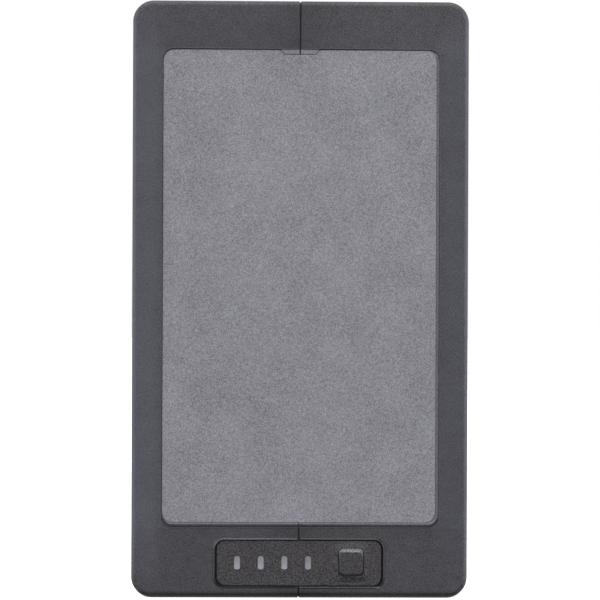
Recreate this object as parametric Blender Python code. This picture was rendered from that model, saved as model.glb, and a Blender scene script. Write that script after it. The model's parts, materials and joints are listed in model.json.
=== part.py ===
"""Wall battery unit: a lithium pack in two half shells, with a charge display and a test button.

The shells meet on the middle plane. Inside are eight cells in three carriers, a tray with the
main board and the power socket, and the display board behind the control panel.

Frame: +Z up, +X to the right as seen from the front, the front faces -Y. The origin is the
centre of the base. Sizes are millimetres, turned into Blender's metres when a mesh is made.
"""

import math

import bmesh
import bpy

MM = 0.001

# Case
CASE_WIDTH = 120.0
CASE_HEIGHT = 213.0
CASE_DEPTH = 44.0
CORNER_RADIUS = 7.5
EDGE_RADIUS = 2.0
WALL = 2.6
FRONT_WALL = 3.2
CAVITY_EDGE_RADIUS = 1.0
FRONT = -CASE_DEPTH / 2
REAR = CASE_DEPTH / 2
MIDDLE_Z = CASE_HEIGHT / 2
CAVITY_FRONT = FRONT + FRONT_WALL
CAVITY_REAR = REAR - WALL
CAVITY_SIDE = CASE_WIDTH / 2 - WALL
CAVITY_RADIUS = CORNER_RADIUS - WALL
GAP = 0.3  # between pieces that touch or slide
BEYOND = 3.0  # how far a cutter passes the surface it opens
OVERLAP = 1.0  # how far joined shapes and inner cutters run into each other

# Joint between the half shells
SEAM_GAP = 0.35
LIP = 1.0
LIP_REACH = 2.4
SEAL_WIDTH = 1.6
SEAL_CLEARANCE = 0.1
SEAL_OPENING_HALF_WIDTH = 10.0

# Front label and its recess
LABEL_RECESS_WIDTH = 99.35
LABEL_RECESS_HEIGHT = 170.75
LABEL_RECESS_Z = 110.725
LABEL_RECESS_RADIUS = 3.9
LABEL_RECESS_DEPTH = 0.8
LABEL_WIDTH = 97.6
LABEL_HEIGHT = 168.5
LABEL_X = -0.25
LABEL_Z = 111.25
LABEL_RADIUS = 3.5
LABEL_THICKNESS = 0.4
LABEL_BELOW_FRONT = 0.2
NOTCH_WIDTH = 13.9
NOTCH_SIDE = ((0.0, 0.0), (0.63, 0.95), (1.35, 1.35))  # inwards and down from the notch's mouth

# Control panel
PANEL_WIDTH = 58.8
PANEL_HEIGHT = 15.6
PANEL_Z = 12.3
PANEL_RADIUS = 3.0
PANEL_THICKNESS = 0.9
PANEL_BELOW_FRONT = 0.05
PANEL_RECESS_MARGIN = 0.5
PANEL_RECESS_DEPTH = 1.2
APERTURE_WIDTH = 52.0
APERTURE_HEIGHT = 12.8
APERTURE_Z = 12.5
APERTURE_RADIUS = 1.5

# Charge windows
WINDOW_COUNT = 4
WINDOW_WIDTH = 2.1
WINDOW_HEIGHT = 4.7
WINDOW_RADIUS = 0.7
WINDOW_PITCH = 8.45
FIRST_WINDOW_X = -22.2
WINDOW_Z = 12.55
WINDOW_CLEARANCE = 0.1
PIPE_SHOULDER = 0.5

# Test button and its switch
BUTTON_WIDTH = 8.55
BUTTON_HEIGHT = 9.25
BUTTON_RADIUS = 1.4
BUTTON_X = 18.45
BUTTON_Z = 13.02
BUTTON_TOP_GAP = 0.2
BUTTON_BOTTOM_GAP = 0.5
BUTTON_PROUD = 1.0
BUTTON_EDGE = 0.25
BUTTON_RAMP = 1.25  # the slope along the cap's top edge
BUTTON_FOOT = 0.1  # the straight stretch between the slope and the panel's plane
BUTTON_FLANGE = 0.8
BUTTON_FLANGE_THICKNESS = 0.8
BUTTON_POST_RADIUS = 2.0
BUTTON_POST_ROOT = 0.4
BUTTON_TRAVEL = 0.5
MOUND_WIDTH = 13.8  # the low rise of the panel that the button sits in
MOUND_HEIGHT = 14.5
MOUND_Z = 12.65
MOUND_RADIUS = 3.0
MOUND_PROUD = 0.5
MOUND_SUNK = 0.05  # how far under the panel's face the slope starts
MOUND_RIM = 0.15  # the flat rim between the mound's slope and the button's hole
SWITCH_SIZE = 6.0
SWITCH_HEIGHT = 3.2
SWITCH_RADIUS = 0.6
PLUNGER_RADIUS = 1.7
PLUNGER_PROUD = 1.0
PLUNGER_INSIDE = 1.2
PLUNGER_CLEARANCE = 0.2

# Boards
DISPLAY_BOARD_WIDTH = 56.0
DISPLAY_BOARD_HEIGHT = 14.2
DISPLAY_BOARD_Z = 12.4
DISPLAY_BOARD_FRONT = -14.4
DISPLAY_BOARD_THICKNESS = 1.2
DISPLAY_BOARD_RADIUS = 1.0
DISPLAY_RIBBON_X = -24.0
LED_WIDTH = 1.6
LED_HEIGHT = 3.2
LED_THICKNESS = 0.8
LED_RADIUS = 0.3
MAIN_BOARD_WIDTH = 90.0
MAIN_BOARD_BOTTOM = 8.3
MAIN_BOARD_TOP = 62.0
MAIN_BOARD_FRONT = 9.0
MAIN_BOARD_THICKNESS = 1.6
MAIN_BOARD_RADIUS = 2.0
BOARD_SCREW_X = 40.0
BOARD_SCREW_Z = 24.0
BOARD_SCREW_RADIUS = 1.25
BOARD_SCREW_HEAD_RADIUS = 2.4
BOARD_SCREW_HEAD_HEIGHT = 1.5
BOARD_SCREW_LENGTH = 7.0

# Large components on the main board, each placed by its x and z
INDUCTOR_AT = (-30.0, 37.0)
INDUCTOR_SIZE = 15.0
INDUCTOR_HEIGHT = 8.0
INDUCTOR_RADIUS = 3.0
CAPACITOR_AT = (-8.0, 37.0)
CAPACITOR_PROFILE = ((4.6, -16.0), (5.0, -15.6), (5.0, -1.5), (4.7, -1.2), (4.7, 0.0))
HEAT_SINK_AT = (22.0, 30.0)
HEAT_SINK_WIDTH = 24.0
HEAT_SINK_BASE = 2.5
HEAT_SINK_DEPTH = 10.0
HEAT_SINK_HEIGHT = 22.0
HEAT_SINK_FINS = 6
HEAT_SINK_FIN_THICKNESS = 1.6
FUSE_AT = (-8.0, 53.5)
FUSE_WIDTH = 19.0
FUSE_HEIGHT = 9.0
FUSE_RADIUS = 1.0

# Cells and carriers, bottom to top
CELL_RADIUS = 13.1
CELL_CAN_HEIGHT = 64.3
CELL_CAP_HEIGHT = 1.0
CELL_CAP_RADIUS = 5.5
CELL_ROUNDING = 0.5
CELL_PITCH = 27.6
CELL_Y = -2.6
CELL_COLUMNS = (-1.5 * CELL_PITCH, -0.5 * CELL_PITCH, 0.5 * CELL_PITCH, 1.5 * CELL_PITCH)
CELL_HEIGHT = CELL_CAN_HEIGHT + CELL_CAP_HEIGHT
SOCKET_CLEARANCE = 0.3
STRIP_THICKNESS = 0.4
STRIP_WIDTH = 8.0
STRIP_CLEARANCE = 0.6
STRIP_REACH = 5.0  # how far a strip passes its outer cells' axes
TAB_HALF_WIDTH = 2.5
TAB_BEHIND_LEAD = 1.0
LOW_CARRIER_BOTTOM = 65.0
LOW_CARRIER_TOP = 75.0
CARRIER_FLOOR = 2.9
LOW_STRIP_Z = LOW_CARRIER_BOTTOM + CARRIER_FLOOR + GAP
LOWER_CELL_Z = LOW_STRIP_Z + STRIP_THICKNESS + GAP
MID_STRIP_Z = LOWER_CELL_Z + CELL_HEIGHT + GAP
UPPER_CELL_Z = MID_STRIP_Z + STRIP_THICKNESS + GAP
TOP_STRIP_Z = UPPER_CELL_Z + CELL_HEIGHT + GAP
TOP_SOCKET_CEILING = TOP_STRIP_Z + STRIP_THICKNESS + GAP
MID_CARRIER_HALF_HEIGHT = 7.0
MID_CARRIER_Z = MID_STRIP_Z + STRIP_THICKNESS / 2
TOP_CARRIER_BOTTOM = 194.0
TOP_CARRIER_TOP = 207.4
CARRIER_WIDTH = 2 * (CAVITY_SIDE - GAP)
CARRIER_DEPTH = CAVITY_REAR - CAVITY_FRONT - 2 * GAP
CARRIER_Y = (CAVITY_REAR + CAVITY_FRONT) / 2
CARRIER_RADIUS = 2.0
TOP_CARRIER_RADIUS = 3.0
LEAD_X = CELL_PITCH
LEAD_Y = 15.5
LEAD_RADIUS = 1.3
LEAD_CHANNEL_HALF = 3.2
RIBBON_WIDTH = 8.0
RIBBON_THICKNESS = 0.5
RIBBON_Y = 16.0
RIBBON_NOTCH_FRONT = 14.0
RIBBON_CLEARANCE = 1.0
RIBBON_TOP = TOP_STRIP_Z - 3.0
FOAM_HALF_WIDTH = 50.0
FOAM_FROM_CARRIER = 3.0

# Tray at the foot of the case
TRAY_BOTTOM = 4.7
TRAY_TOP = 16.0
TRAY_FLOOR_TOP = 8.0
TRAY_RADIUS = 3.5
TRAY_POCKET_HALF_WIDTH = 46.0
UPRIGHT_WIDTH = 8.0
UPRIGHT_THICKNESS = 3.0
UPRIGHT_TOP = 30.0

# Power socket
SOCKET_WIDTH = 30.0
SOCKET_DEPTH = 14.0
SOCKET_BOTTOM = 0.4
SOCKET_TOP = 18.0
SOCKET_COLLAR = 2.0
SOCKET_COLLAR_THICKNESS = 1.6
SOCKET_RADIUS = 1.2
MOUTH_WIDTH = 24.0
MOUTH_DEPTH = 9.0
MOUTH_CEILING = 13.4
MOUTH_RADIUS = 1.0
CONTACT_X = 8.0
CONTACT_THICKNESS = 0.8
CONTACT_WIDTH = 6.3
CONTACT_BOTTOM = 2.4
CONTACT_TAPER = 1.0
CONTACT_TAIL_BOTTOM = 19.0
CONTACT_TOP = 22.0
CONTACT_CLEARANCE = 0.2

# Shell screws, countersunk in the side walls
SCREW_Y = 12.0
SCREW_LOW_Z = 11.0
SCREW_HIGH_Z = 203.0
SCREW_HEAD_RADIUS = 2.8
SCREW_HEAD_HEIGHT = 1.6
SCREW_RADIUS = 1.45
SCREW_LENGTH = 8.6
SCREW_BELOW_SIDE = 0.15
COUNTERSINK_CLEARANCE = 0.15
SCREW_RIM = 0.15
SCREW_POINT = 0.45  # the point's radius, as a share of the shank's
CROSS_REACH = 0.55  # the recess in the head: arm length and half width as shares of its radius
CROSS_HALF_WIDTH = 0.12
CROSS_DEPTH = 0.6  # as a share of the head's height

# Rear: keyholes for two wall screws, and rubber strips
KEYHOLE_X = 32.0
KEYHOLE_ENTRY_Z = 158.0
KEYHOLE_ENTRY_RADIUS = 4.5
KEYHOLE_SLOT_WIDTH = 4.6
KEYHOLE_TRAVEL = 9.5
POCKET_WIDTH = 12.0
POCKET_HEIGHT = 20.0
POCKET_DEPTH = 4.5
POCKET_WALL = 1.2
WALL_STRIP_X = 50.0
WALL_STRIP_WIDTH = 8.0
WALL_STRIP_LENGTH = 150.0
WALL_STRIP_PROUD = 1.0
WALL_STRIP_GROOVE = 0.8
WALL_STRIP_GLUE = 0.2

# Inside the shells: ledges at the side walls, ribs on the rear wall
LEDGE_REACH = 2.2
LEDGE_HEIGHT = 2.5
RIB_HEIGHT = 2.0
RIB_HALF_THICKNESS = 0.7
RIB_FROM_RIBBON = 3.0
REAR_RIBS_Z = (88.0, 108.0, 148.5, 184.0)

CORNER_STEPS = 5
SMALL_CORNER_STEPS = 4
TINY_CORNER_STEPS = 2
CASE_EDGE_STEPS = 3
CAVITY_EDGE_STEPS = 2
CIRCLE_STEPS = 20
SMALL_CIRCLE_STEPS = 16
SMOOTH_ANGLE = 35.0


# ---------------------------------------------------------------- outlines


def rounded_outline(width, height, radius, steps=SMALL_CORNER_STEPS, centre=(0.0, 0.0)):
    """Points of a rounded rectangle, counter-clockwise from its lower right corner."""
    points = []
    for quarter in range(4):
        side = 1 if quarter in (0, 1) else -1
        rise = 1 if quarter in (1, 2) else -1
        corner = (centre[0] + side * (width / 2 - radius), centre[1] + rise * (height / 2 - radius))
        for step in range(steps + 1):
            angle = math.pi / 2 * (quarter - 1 + step / steps)
            points.append((corner[0] + radius * math.cos(angle), corner[1] + radius * math.sin(angle)))
    return points


def circle(radius, steps=CIRCLE_STEPS, centre=(0.0, 0.0)):
    turn = 2 * math.pi / steps
    return [
        (centre[0] + radius * math.cos(turn * i), centre[1] + radius * math.sin(turn * i))
        for i in range(steps)
    ]


def rectangle(low_u, high_u, low_v, high_v):
    return [(low_u, low_v), (high_u, low_v), (high_u, high_v), (low_u, high_v)]


def label_outline():
    """The label's rounded rectangle with a shallow thumb notch in its top edge."""
    corners = rounded_outline(LABEL_WIDTH, LABEL_HEIGHT, LABEL_RADIUS, centre=(LABEL_X, LABEL_Z))
    top = LABEL_Z + LABEL_HEIGHT / 2
    half = NOTCH_WIDTH / 2
    right_side = [(half - inwards, top - down) for inwards, down in NOTCH_SIDE]
    notch = right_side + [(-x, z) for x, z in reversed(right_side)]
    upper_right_end = 2 * (SMALL_CORNER_STEPS + 1)
    return corners[:upper_right_end] + notch + corners[upper_right_end:]


def keyhole_outline(centre_x):
    """A round entry with a narrower slot that rises from it and ends in a half circle."""
    half = KEYHOLE_SLOT_WIDTH / 2
    mouth = math.asin(half / KEYHOLE_ENTRY_RADIUS)
    entry_steps = 16
    slot_steps = 6
    points = []
    for i in range(entry_steps + 1):
        angle = math.pi / 2 + mouth + (2 * math.pi - 2 * mouth) * i / entry_steps
        points.append((KEYHOLE_ENTRY_RADIUS * math.cos(angle), KEYHOLE_ENTRY_RADIUS * math.sin(angle)))
    for i in range(slot_steps + 1):
        angle = math.pi * i / slot_steps
        points.append((half * math.cos(angle), KEYHOLE_TRAVEL + half * math.sin(angle)))
    return [(centre_x + u, KEYHOLE_ENTRY_Z + v) for u, v in points]


def comb_outline(width, base, height, fins, fin_thickness):
    """A heat sink's section: a base along v = 0, and fins that point towards -v."""
    pitch = (width - fin_thickness) / (fins - 1)
    points = [(-width / 2, 0.0), (width / 2, 0.0)]
    for fin in reversed(range(fins)):
        left = -width / 2 + fin * pitch
        right = left + fin_thickness
        points += [(right, -height), (left, -height)]
        if fin:
            points += [(left, -base), (left - pitch + fin_thickness, -base)]
    return points


# ---------------------------------------------------------------- solids


def place(axis, u, v, w):
    """A point from its outline coordinates u, v and its distance w along the axis."""
    point = {"X": (w, u, v), "Y": (u, w, v), "Z": (u, v, w)}[axis]
    return [value * MM for value in point]


def loft(mesh, sections, axis):
    """Adds a closed body through sections, each (outline, w), all with the same number of points."""
    rings = [[mesh.verts.new(place(axis, u, v, w)) for u, v in outline] for outline, w in sections]
    count = len(rings[0])
    for lower, upper in zip(rings, rings[1:]):
        for i in range(count):
            j = (i + 1) % count
            mesh.faces.new((lower[i], lower[j], upper[j], upper[i]))
    mesh.faces.new(rings[0])
    mesh.faces.new(rings[-1])
    bmesh.ops.recalc_face_normals(mesh, faces=mesh.faces)
    return mesh


def prism(outline, axis, start, end, mesh=None):
    return loft(mesh or bmesh.new(), [(outline, start), (outline, end)], axis)


def turned(profile, axis, steps=CIRCLE_STEPS, centre=(0.0, 0.0), mesh=None):
    """A round body through (radius, w) pairs."""
    sections = [(circle(radius, steps, centre), w) for radius, w in profile]
    return loft(mesh or bmesh.new(), sections, axis)


def box(low, high, mesh=None):
    outline = rectangle(low[0], high[0], low[1], high[1])
    return prism(outline, "Z", low[2], high[2], mesh)


def rounded_block(width, height, front, rear, corner, edge, corner_steps, edge_steps):
    """A block with round corners seen from the front, and round edges at its front and rear."""
    profile = []
    for i in range(edge_steps + 1):
        angle = math.pi / 2 * (1 - i / edge_steps)
        profile.append((front + edge * (1 - math.sin(angle)), edge * (1 - math.cos(angle))))
    profile += [(front + rear - w, inset) for w, inset in reversed(profile)]
    sections = []
    for w, inset in profile:
        size = (width - 2 * inset, height - 2 * inset)
        sections.append((rounded_outline(*size, corner - inset, corner_steps, (0.0, MIDDLE_Z)), w))
    return loft(bmesh.new(), sections, "Y")


def cavity_block(outset=0.0):
    """The inside of the case, or that shape grown by outset."""
    return rounded_block(
        2 * (CAVITY_SIDE + outset),
        CASE_HEIGHT - 2 * WALL + 2 * outset,
        CAVITY_FRONT - outset,
        CAVITY_REAR + outset,
        CAVITY_RADIUS + outset,
        CAVITY_EDGE_RADIUS + outset,
        SMALL_CORNER_STEPS,
        CAVITY_EDGE_STEPS,
    )


# ---------------------------------------------------------------- objects


def clear_scene():
    for old in list(bpy.data.objects):
        bpy.data.objects.remove(old)


def material(name, colour, roughness, metallic=0.0):
    made = bpy.data.materials.new(name)
    made.use_nodes = True
    shader = made.node_tree.nodes["Principled BSDF"]
    shader.inputs["Base Color"].default_value = (*colour, 1.0)
    shader.inputs["Roughness"].default_value = roughness
    shader.inputs["Metallic"].default_value = metallic
    return made


def make_materials():
    """Every finish of the unit, by name."""
    finishes = {
        "shell": ((0.075, 0.075, 0.082), 0.55),
        "label": ((0.24, 0.24, 0.26), 0.6),
        "panel": ((0.055, 0.053, 0.052), 0.6),
        "frosted": ((0.32, 0.34, 0.36), 0.4),
        "rubber": ((0.02, 0.02, 0.02), 0.8),
        "steel": ((0.45, 0.45, 0.46), 0.35, 1.0),
        "nickel": ((0.6, 0.58, 0.54), 0.3, 1.0),
        "brass": ((0.75, 0.58, 0.3), 0.3, 1.0),
        "aluminium": ((0.7, 0.7, 0.72), 0.4, 1.0),
        "carrier": ((0.04, 0.04, 0.045), 0.6),
        "cell_wrap": ((0.03, 0.13, 0.32), 0.35),
        "board": ((0.02, 0.14, 0.06), 0.4),
        "ferrite": ((0.05, 0.05, 0.05), 0.7),
        "led": ((0.8, 0.8, 0.74), 0.4),
        "fuse": ((0.65, 0.25, 0.03), 0.4),
        "red_wire": ((0.5, 0.02, 0.02), 0.5),
        "black_wire": ((0.02, 0.02, 0.02), 0.5),
        "foam": ((0.1, 0.1, 0.1), 0.9),
    }
    return {name: material(name, *values) for name, values in finishes.items()}


def add_object(name, mesh, finish=None, location=(0.0, 0.0, 0.0), rotation=(0.0, 0.0, 0.0)):
    """An object from a bmesh, which it frees. Location is in millimetres."""
    data = bpy.data.meshes.new(name)
    mesh.to_mesh(data)
    mesh.free()
    data.shade_smooth()
    data.set_sharp_from_angle(angle=math.radians(SMOOTH_ANGLE))
    if finish:
        data.materials.append(finish)
    made = bpy.data.objects.new(name, data)
    made.location = [value * MM for value in location]
    made.rotation_euler = rotation
    bpy.context.scene.collection.objects.link(made)
    return made


def add_helper(name, mesh):
    """A cutter, or a shape to be joined on: it isn't a piece of the unit."""
    made = add_object(name, mesh)
    made.hide_render = True
    made.display_type = "WIRE"
    return made


def combine(target, operation, *others):
    for other in others:
        modifier = target.modifiers.new(f"{operation.lower()} {other.name}", "BOOLEAN")
        modifier.operation = operation
        modifier.object = other
        modifier.solver = "EXACT"


def cut(target, *others):
    combine(target, "DIFFERENCE", *others)


def join(target, *others):
    combine(target, "UNION", *others)


# ---------------------------------------------------------------- case


def half_space(name, low_x, high_x):
    """A slab across the whole case, from low_x to high_x."""
    low = (low_x, FRONT - BEYOND, -BEYOND)
    high = (high_x, REAR + BEYOND, CASE_HEIGHT + BEYOND)
    return add_helper(name, box(low, high))


def front_cutter(name, width, height, centre_z, radius, floor):
    outline = rounded_outline(width, height, radius, centre=(0.0, centre_z))
    return add_helper(name, prism(outline, "Y", FRONT - BEYOND, floor))


def shared_cutters():
    """What both half shells have cut out of them, in order."""
    cavity = add_helper("cavity", cavity_block())
    label_recess = front_cutter(
        "label_recess",
        LABEL_RECESS_WIDTH,
        LABEL_RECESS_HEIGHT,
        LABEL_RECESS_Z,
        LABEL_RECESS_RADIUS,
        FRONT + LABEL_RECESS_DEPTH,
    )
    panel_recess = front_cutter(
        "panel_recess",
        PANEL_WIDTH + 2 * PANEL_RECESS_MARGIN,
        PANEL_HEIGHT + 2 * PANEL_RECESS_MARGIN,
        PANEL_Z,
        PANEL_RADIUS + PANEL_RECESS_MARGIN,
        FRONT + PANEL_RECESS_DEPTH,
    )
    aperture = front_cutter(
        "aperture", APERTURE_WIDTH, APERTURE_HEIGHT, APERTURE_Z, APERTURE_RADIUS, CAVITY_FRONT + GAP
    )
    socket_outline = rounded_outline(SOCKET_WIDTH + 2 * GAP, SOCKET_DEPTH + 2 * GAP, SOCKET_RADIUS + GAP)
    socket_opening = add_helper("socket_opening", prism(socket_outline, "Z", -BEYOND, WALL + GAP))
    return [cavity, label_recess, panel_recess, aperture, socket_opening]


def screw_seats(side):
    """Countersinks and clearance holes for one side wall's four screws."""
    mesh = bmesh.new()
    outer = side * CASE_WIDTH / 2
    head = SCREW_HEAD_RADIUS + COUNTERSINK_CLEARANCE
    hole = SCREW_RADIUS + GAP
    profile = [
        (head, outer + side * BEYOND),
        (head, outer - side * SCREW_BELOW_SIDE),
        (hole, outer - side * (SCREW_BELOW_SIDE + SCREW_HEAD_HEIGHT)),
        (hole, side * (CAVITY_SIDE - GAP)),
    ]
    for y in (-SCREW_Y, SCREW_Y):
        for z in (SCREW_LOW_Z, SCREW_HIGH_Z):
            turned(profile, "X", CIRCLE_STEPS, (y, z), mesh)
    return add_helper(f"screw_seats_{side}", mesh)


def wall_strip_groove(side):
    outline = rounded_outline(
        WALL_STRIP_WIDTH + 2 * GAP,
        WALL_STRIP_LENGTH + 2 * GAP,
        WALL_STRIP_WIDTH / 2 + GAP,
        centre=(side * WALL_STRIP_X, MIDDLE_Z),
    )
    mesh = prism(outline, "Y", REAR - WALL_STRIP_GROOVE, REAR + BEYOND)
    return add_helper(f"wall_strip_groove_{side}", mesh)


def keyhole_pocket(side, shell):
    """A closed pocket behind the keyhole, so that a wall screw can't reach the cells."""
    x = side * KEYHOLE_X
    half = POCKET_WIDTH / 2
    low = (x - half, CAVITY_REAR - POCKET_DEPTH, KEYHOLE_ENTRY_Z - half)
    high = (x + half, CAVITY_REAR, KEYHOLE_ENTRY_Z - half + POCKET_HEIGHT)
    wall = POCKET_WALL
    outer = box([value - wall for value in low], (high[0] + wall, REAR - OVERLAP, high[2] + wall))
    inner = box(low, high)
    opening = prism(keyhole_outline(x), "Y", CAVITY_REAR - OVERLAP, REAR + BEYOND)
    join(shell, add_helper(f"pocket_outer_{side}", outer))
    cut(shell, add_helper(f"pocket_inner_{side}", inner), add_helper(f"keyhole_{side}", opening))


def inside_ribs(side, shell):
    """Ledges under the two lower carriers, and stiffening ribs on the rear wall."""
    inner = side * (CAVITY_SIDE - LEDGE_REACH)
    outer = side * (CAVITY_SIDE + OVERLAP)
    low_x, high_x = sorted((inner, outer))
    for carrier_bottom in (LOW_CARRIER_BOTTOM, MID_CARRIER_Z - MID_CARRIER_HALF_HEIGHT):
        top = carrier_bottom - GAP
        low = (low_x, CAVITY_FRONT - OVERLAP, top - LEDGE_HEIGHT)
        high = (high_x, CAVITY_REAR + OVERLAP, top)
        join(shell, add_helper(f"ledge_{side}_{round(top)}", box(low, high)))
    low_x, high_x = sorted((side * (RIBBON_WIDTH / 2 + RIB_FROM_RIBBON), outer))
    for z in REAR_RIBS_Z:
        low = (low_x, CAVITY_REAR - RIB_HEIGHT, z - RIB_HALF_THICKNESS)
        high = (high_x, CAVITY_REAR + OVERLAP, z + RIB_HALF_THICKNESS)
        join(shell, add_helper(f"rear_rib_{side}_{round(z)}", box(low, high)))


def make_shells(finish):
    """The half shells. The right one has a lip that enters a rebate in the left one."""
    common = shared_cutters()
    shells = {}
    for side, name in ((-1, "left_shell"), (1, "right_shell")):
        block = rounded_block(
            CASE_WIDTH, CASE_HEIGHT, FRONT, REAR, CORNER_RADIUS, EDGE_RADIUS, CORNER_STEPS, CASE_EDGE_STEPS
        )
        shell = add_object(name, block, finish)
        shells[side] = shell
        cut(shell, common[0])
        inside_ribs(side, shell)
        keyhole_pocket(side, shell)
    beyond_side = CASE_WIDTH / 2 + BEYOND

    right = shells[1]
    lip_stop = add_helper("lip_stop", cavity_block(LIP))
    around_lip = half_space("around_lip", -LIP_REACH - OVERLAP, SEAM_GAP / 2)
    cut(around_lip, lip_stop)
    cut(right, half_space("left_of_lip", -beyond_side, -LIP_REACH), around_lip)

    left = shells[-1]
    rebate = add_helper("rebate", cavity_block(LIP + GAP))
    rebate_end = -LIP_REACH - SEAL_WIDTH - 2 * GAP
    combine(rebate, "INTERSECT", half_space("rebate_length", rebate_end, OVERLAP))
    cut(left, half_space("right_of_seam", -SEAM_GAP / 2, beyond_side), rebate)

    for side, shell in shells.items():
        cut(shell, *common[1:], screw_seats(side), wall_strip_groove(side))


def make_seal(finish):
    """A flat cord in the rebate, from the display opening over the top and down to the socket."""
    seal = add_object("parting_seal", cavity_block(LIP), finish)
    bore = add_helper("seal_bore", cavity_block(SEAL_CLEARANCE))
    centre_x = -LIP_REACH - GAP - SEAL_WIDTH / 2
    length = half_space("seal_length", centre_x - SEAL_WIDTH / 2, centre_x + SEAL_WIDTH / 2)
    opening_top = APERTURE_Z + APERTURE_HEIGHT / 2 + OVERLAP
    opening_rear = SOCKET_DEPTH / 2 + GAP + OVERLAP
    half = SEAL_OPENING_HALF_WIDTH
    opening = box((-half, FRONT - BEYOND, -BEYOND), (half, opening_rear, opening_top))
    combine(seal, "INTERSECT", length)
    cut(seal, bore, add_helper("seal_opening", opening))


def make_screw(name, finish, head, head_height, radius, length, location, rotation):
    """A countersunk screw along +Z of its own frame, tip up, with a cross recess in its head."""
    profile = [
        (head, 0.0),
        (head, SCREW_RIM),
        (radius, head_height),
        (radius, length - radius),
        (radius * SCREW_POINT, length),
    ]
    screw = add_object(name, turned(profile, "Z", SMALL_CIRCLE_STEPS), finish, location, rotation)
    arm = head * CROSS_REACH
    half = head * CROSS_HALF_WIDTH
    cross = [
        (arm, -half), (arm, half), (half, half), (half, arm), (-half, arm), (-half, half),
        (-arm, half), (-arm, -half), (-half, -half), (-half, -arm), (half, -arm), (half, -half),
    ]
    recess = add_helper(f"{name}_recess", prism(cross, "Z", -OVERLAP, head_height * CROSS_DEPTH))
    recess.parent = screw
    cut(screw, recess)


def make_shell_screws(finish):
    outer = CASE_WIDTH / 2 - SCREW_BELOW_SIDE
    for side, side_name in ((-1, "left"), (1, "right")):
        for y, y_name in ((-SCREW_Y, "front"), (SCREW_Y, "rear")):
            for z, z_name in ((SCREW_LOW_Z, "low"), (SCREW_HIGH_Z, "high")):
                make_screw(
                    f"shell_screw_{side_name}_{z_name}_{y_name}",
                    finish,
                    SCREW_HEAD_RADIUS,
                    SCREW_HEAD_HEIGHT,
                    SCREW_RADIUS,
                    SCREW_LENGTH,
                    (side * outer, y, z),
                    (0.0, -side * math.pi / 2, 0.0),
                )


def make_label(finish):
    front = FRONT + LABEL_BELOW_FRONT
    add_object("front_label", prism(label_outline(), "Y", front, front + LABEL_THICKNESS), finish)


def make_wall_strips(finish):
    outline = rounded_outline(WALL_STRIP_WIDTH, WALL_STRIP_LENGTH, WALL_STRIP_WIDTH / 2)
    for side, name in ((-1, "wall_strip_left"), (1, "wall_strip_right")):
        in_groove = WALL_STRIP_GROOVE - WALL_STRIP_GLUE
        mesh = prism(outline, "Y", 0.0, in_groove + WALL_STRIP_PROUD)
        add_object(name, mesh, finish, (side * WALL_STRIP_X, REAR - in_groove, MIDDLE_Z))


# ---------------------------------------------------------------- control panel


def window_positions():
    return [FIRST_WINDOW_X + i * WINDOW_PITCH for i in range(WINDOW_COUNT)]


def hole_outline(outset=0.0):
    """The panel's hole round the button, grown by outset. It is wider below the button than above."""
    height = BUTTON_HEIGHT + BUTTON_TOP_GAP + BUTTON_BOTTOM_GAP + 2 * outset
    centre = (BUTTON_X, BUTTON_Z + (BUTTON_TOP_GAP - BUTTON_BOTTOM_GAP) / 2)
    width = BUTTON_WIDTH + 2 * (GAP + outset)
    return rounded_outline(width, height, BUTTON_RADIUS + GAP + outset, centre=centre)


def make_panel(finish):
    """The panel plate: four window slots, and a low mound round the button's hole."""
    front = FRONT + PANEL_BELOW_FRONT
    plate = prism(rounded_outline(PANEL_WIDTH, PANEL_HEIGHT, PANEL_RADIUS), "Y", 0.0, PANEL_THICKNESS)
    panel = add_object("control_panel", plate, finish, (0.0, front, PANEL_Z))
    holes = bmesh.new()
    for x in window_positions():
        slot = rounded_outline(
            WINDOW_WIDTH + 2 * WINDOW_CLEARANCE,
            WINDOW_HEIGHT + 2 * WINDOW_CLEARANCE,
            WINDOW_RADIUS + WINDOW_CLEARANCE,
            TINY_CORNER_STEPS,
            (x, WINDOW_Z),
        )
        prism(slot, "Y", front - BEYOND, front + BEYOND, holes)
    prism(hole_outline(), "Y", front - BEYOND, front + BEYOND, holes)
    foot = rounded_outline(MOUND_WIDTH, MOUND_HEIGHT, MOUND_RADIUS, centre=(BUTTON_X, MOUND_Z))
    sections = [
        (foot, front + PANEL_THICKNESS / 2),
        (foot, front + MOUND_SUNK),
        (hole_outline(MOUND_RIM), front - MOUND_PROUD),
    ]
    join(panel, add_helper("mound", loft(bmesh.new(), sections, "Y")))
    cut(panel, add_helper("panel_holes", holes))


def make_light_pipes(finish):
    """Each pipe has a shoulder behind the panel and ends just ahead of its LED."""
    front = FRONT + PANEL_BELOW_FRONT
    shoulder = front + PANEL_THICKNESS + GAP
    led_front = DISPLAY_BOARD_FRONT - GAP - LED_THICKNESS
    neck = rounded_outline(WINDOW_WIDTH, WINDOW_HEIGHT, WINDOW_RADIUS, TINY_CORNER_STEPS)
    grown = 2 * PIPE_SHOULDER
    body_size = (WINDOW_WIDTH + grown, WINDOW_HEIGHT + grown)
    body = rounded_outline(*body_size, WINDOW_RADIUS + PIPE_SHOULDER, TINY_CORNER_STEPS)
    length = led_front - GAP - front
    sections = [(neck, 0.0), (neck, shoulder - front), (body, shoulder - front), (body, length)]
    for i, x in enumerate(window_positions(), 1):
        add_object(f"light_pipe_{i}", loft(bmesh.new(), sections, "Y"), finish, (x, front, WINDOW_Z))


def cap_outline(inset, top_inset):
    """The button's outline, drawn in by inset at three sides and by top_inset at the top."""
    height = BUTTON_HEIGHT - inset - top_inset
    centre = (0.0, (inset - top_inset) / 2)
    return rounded_outline(BUTTON_WIDTH - 2 * inset, height, BUTTON_RADIUS - inset, centre=centre)


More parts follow.
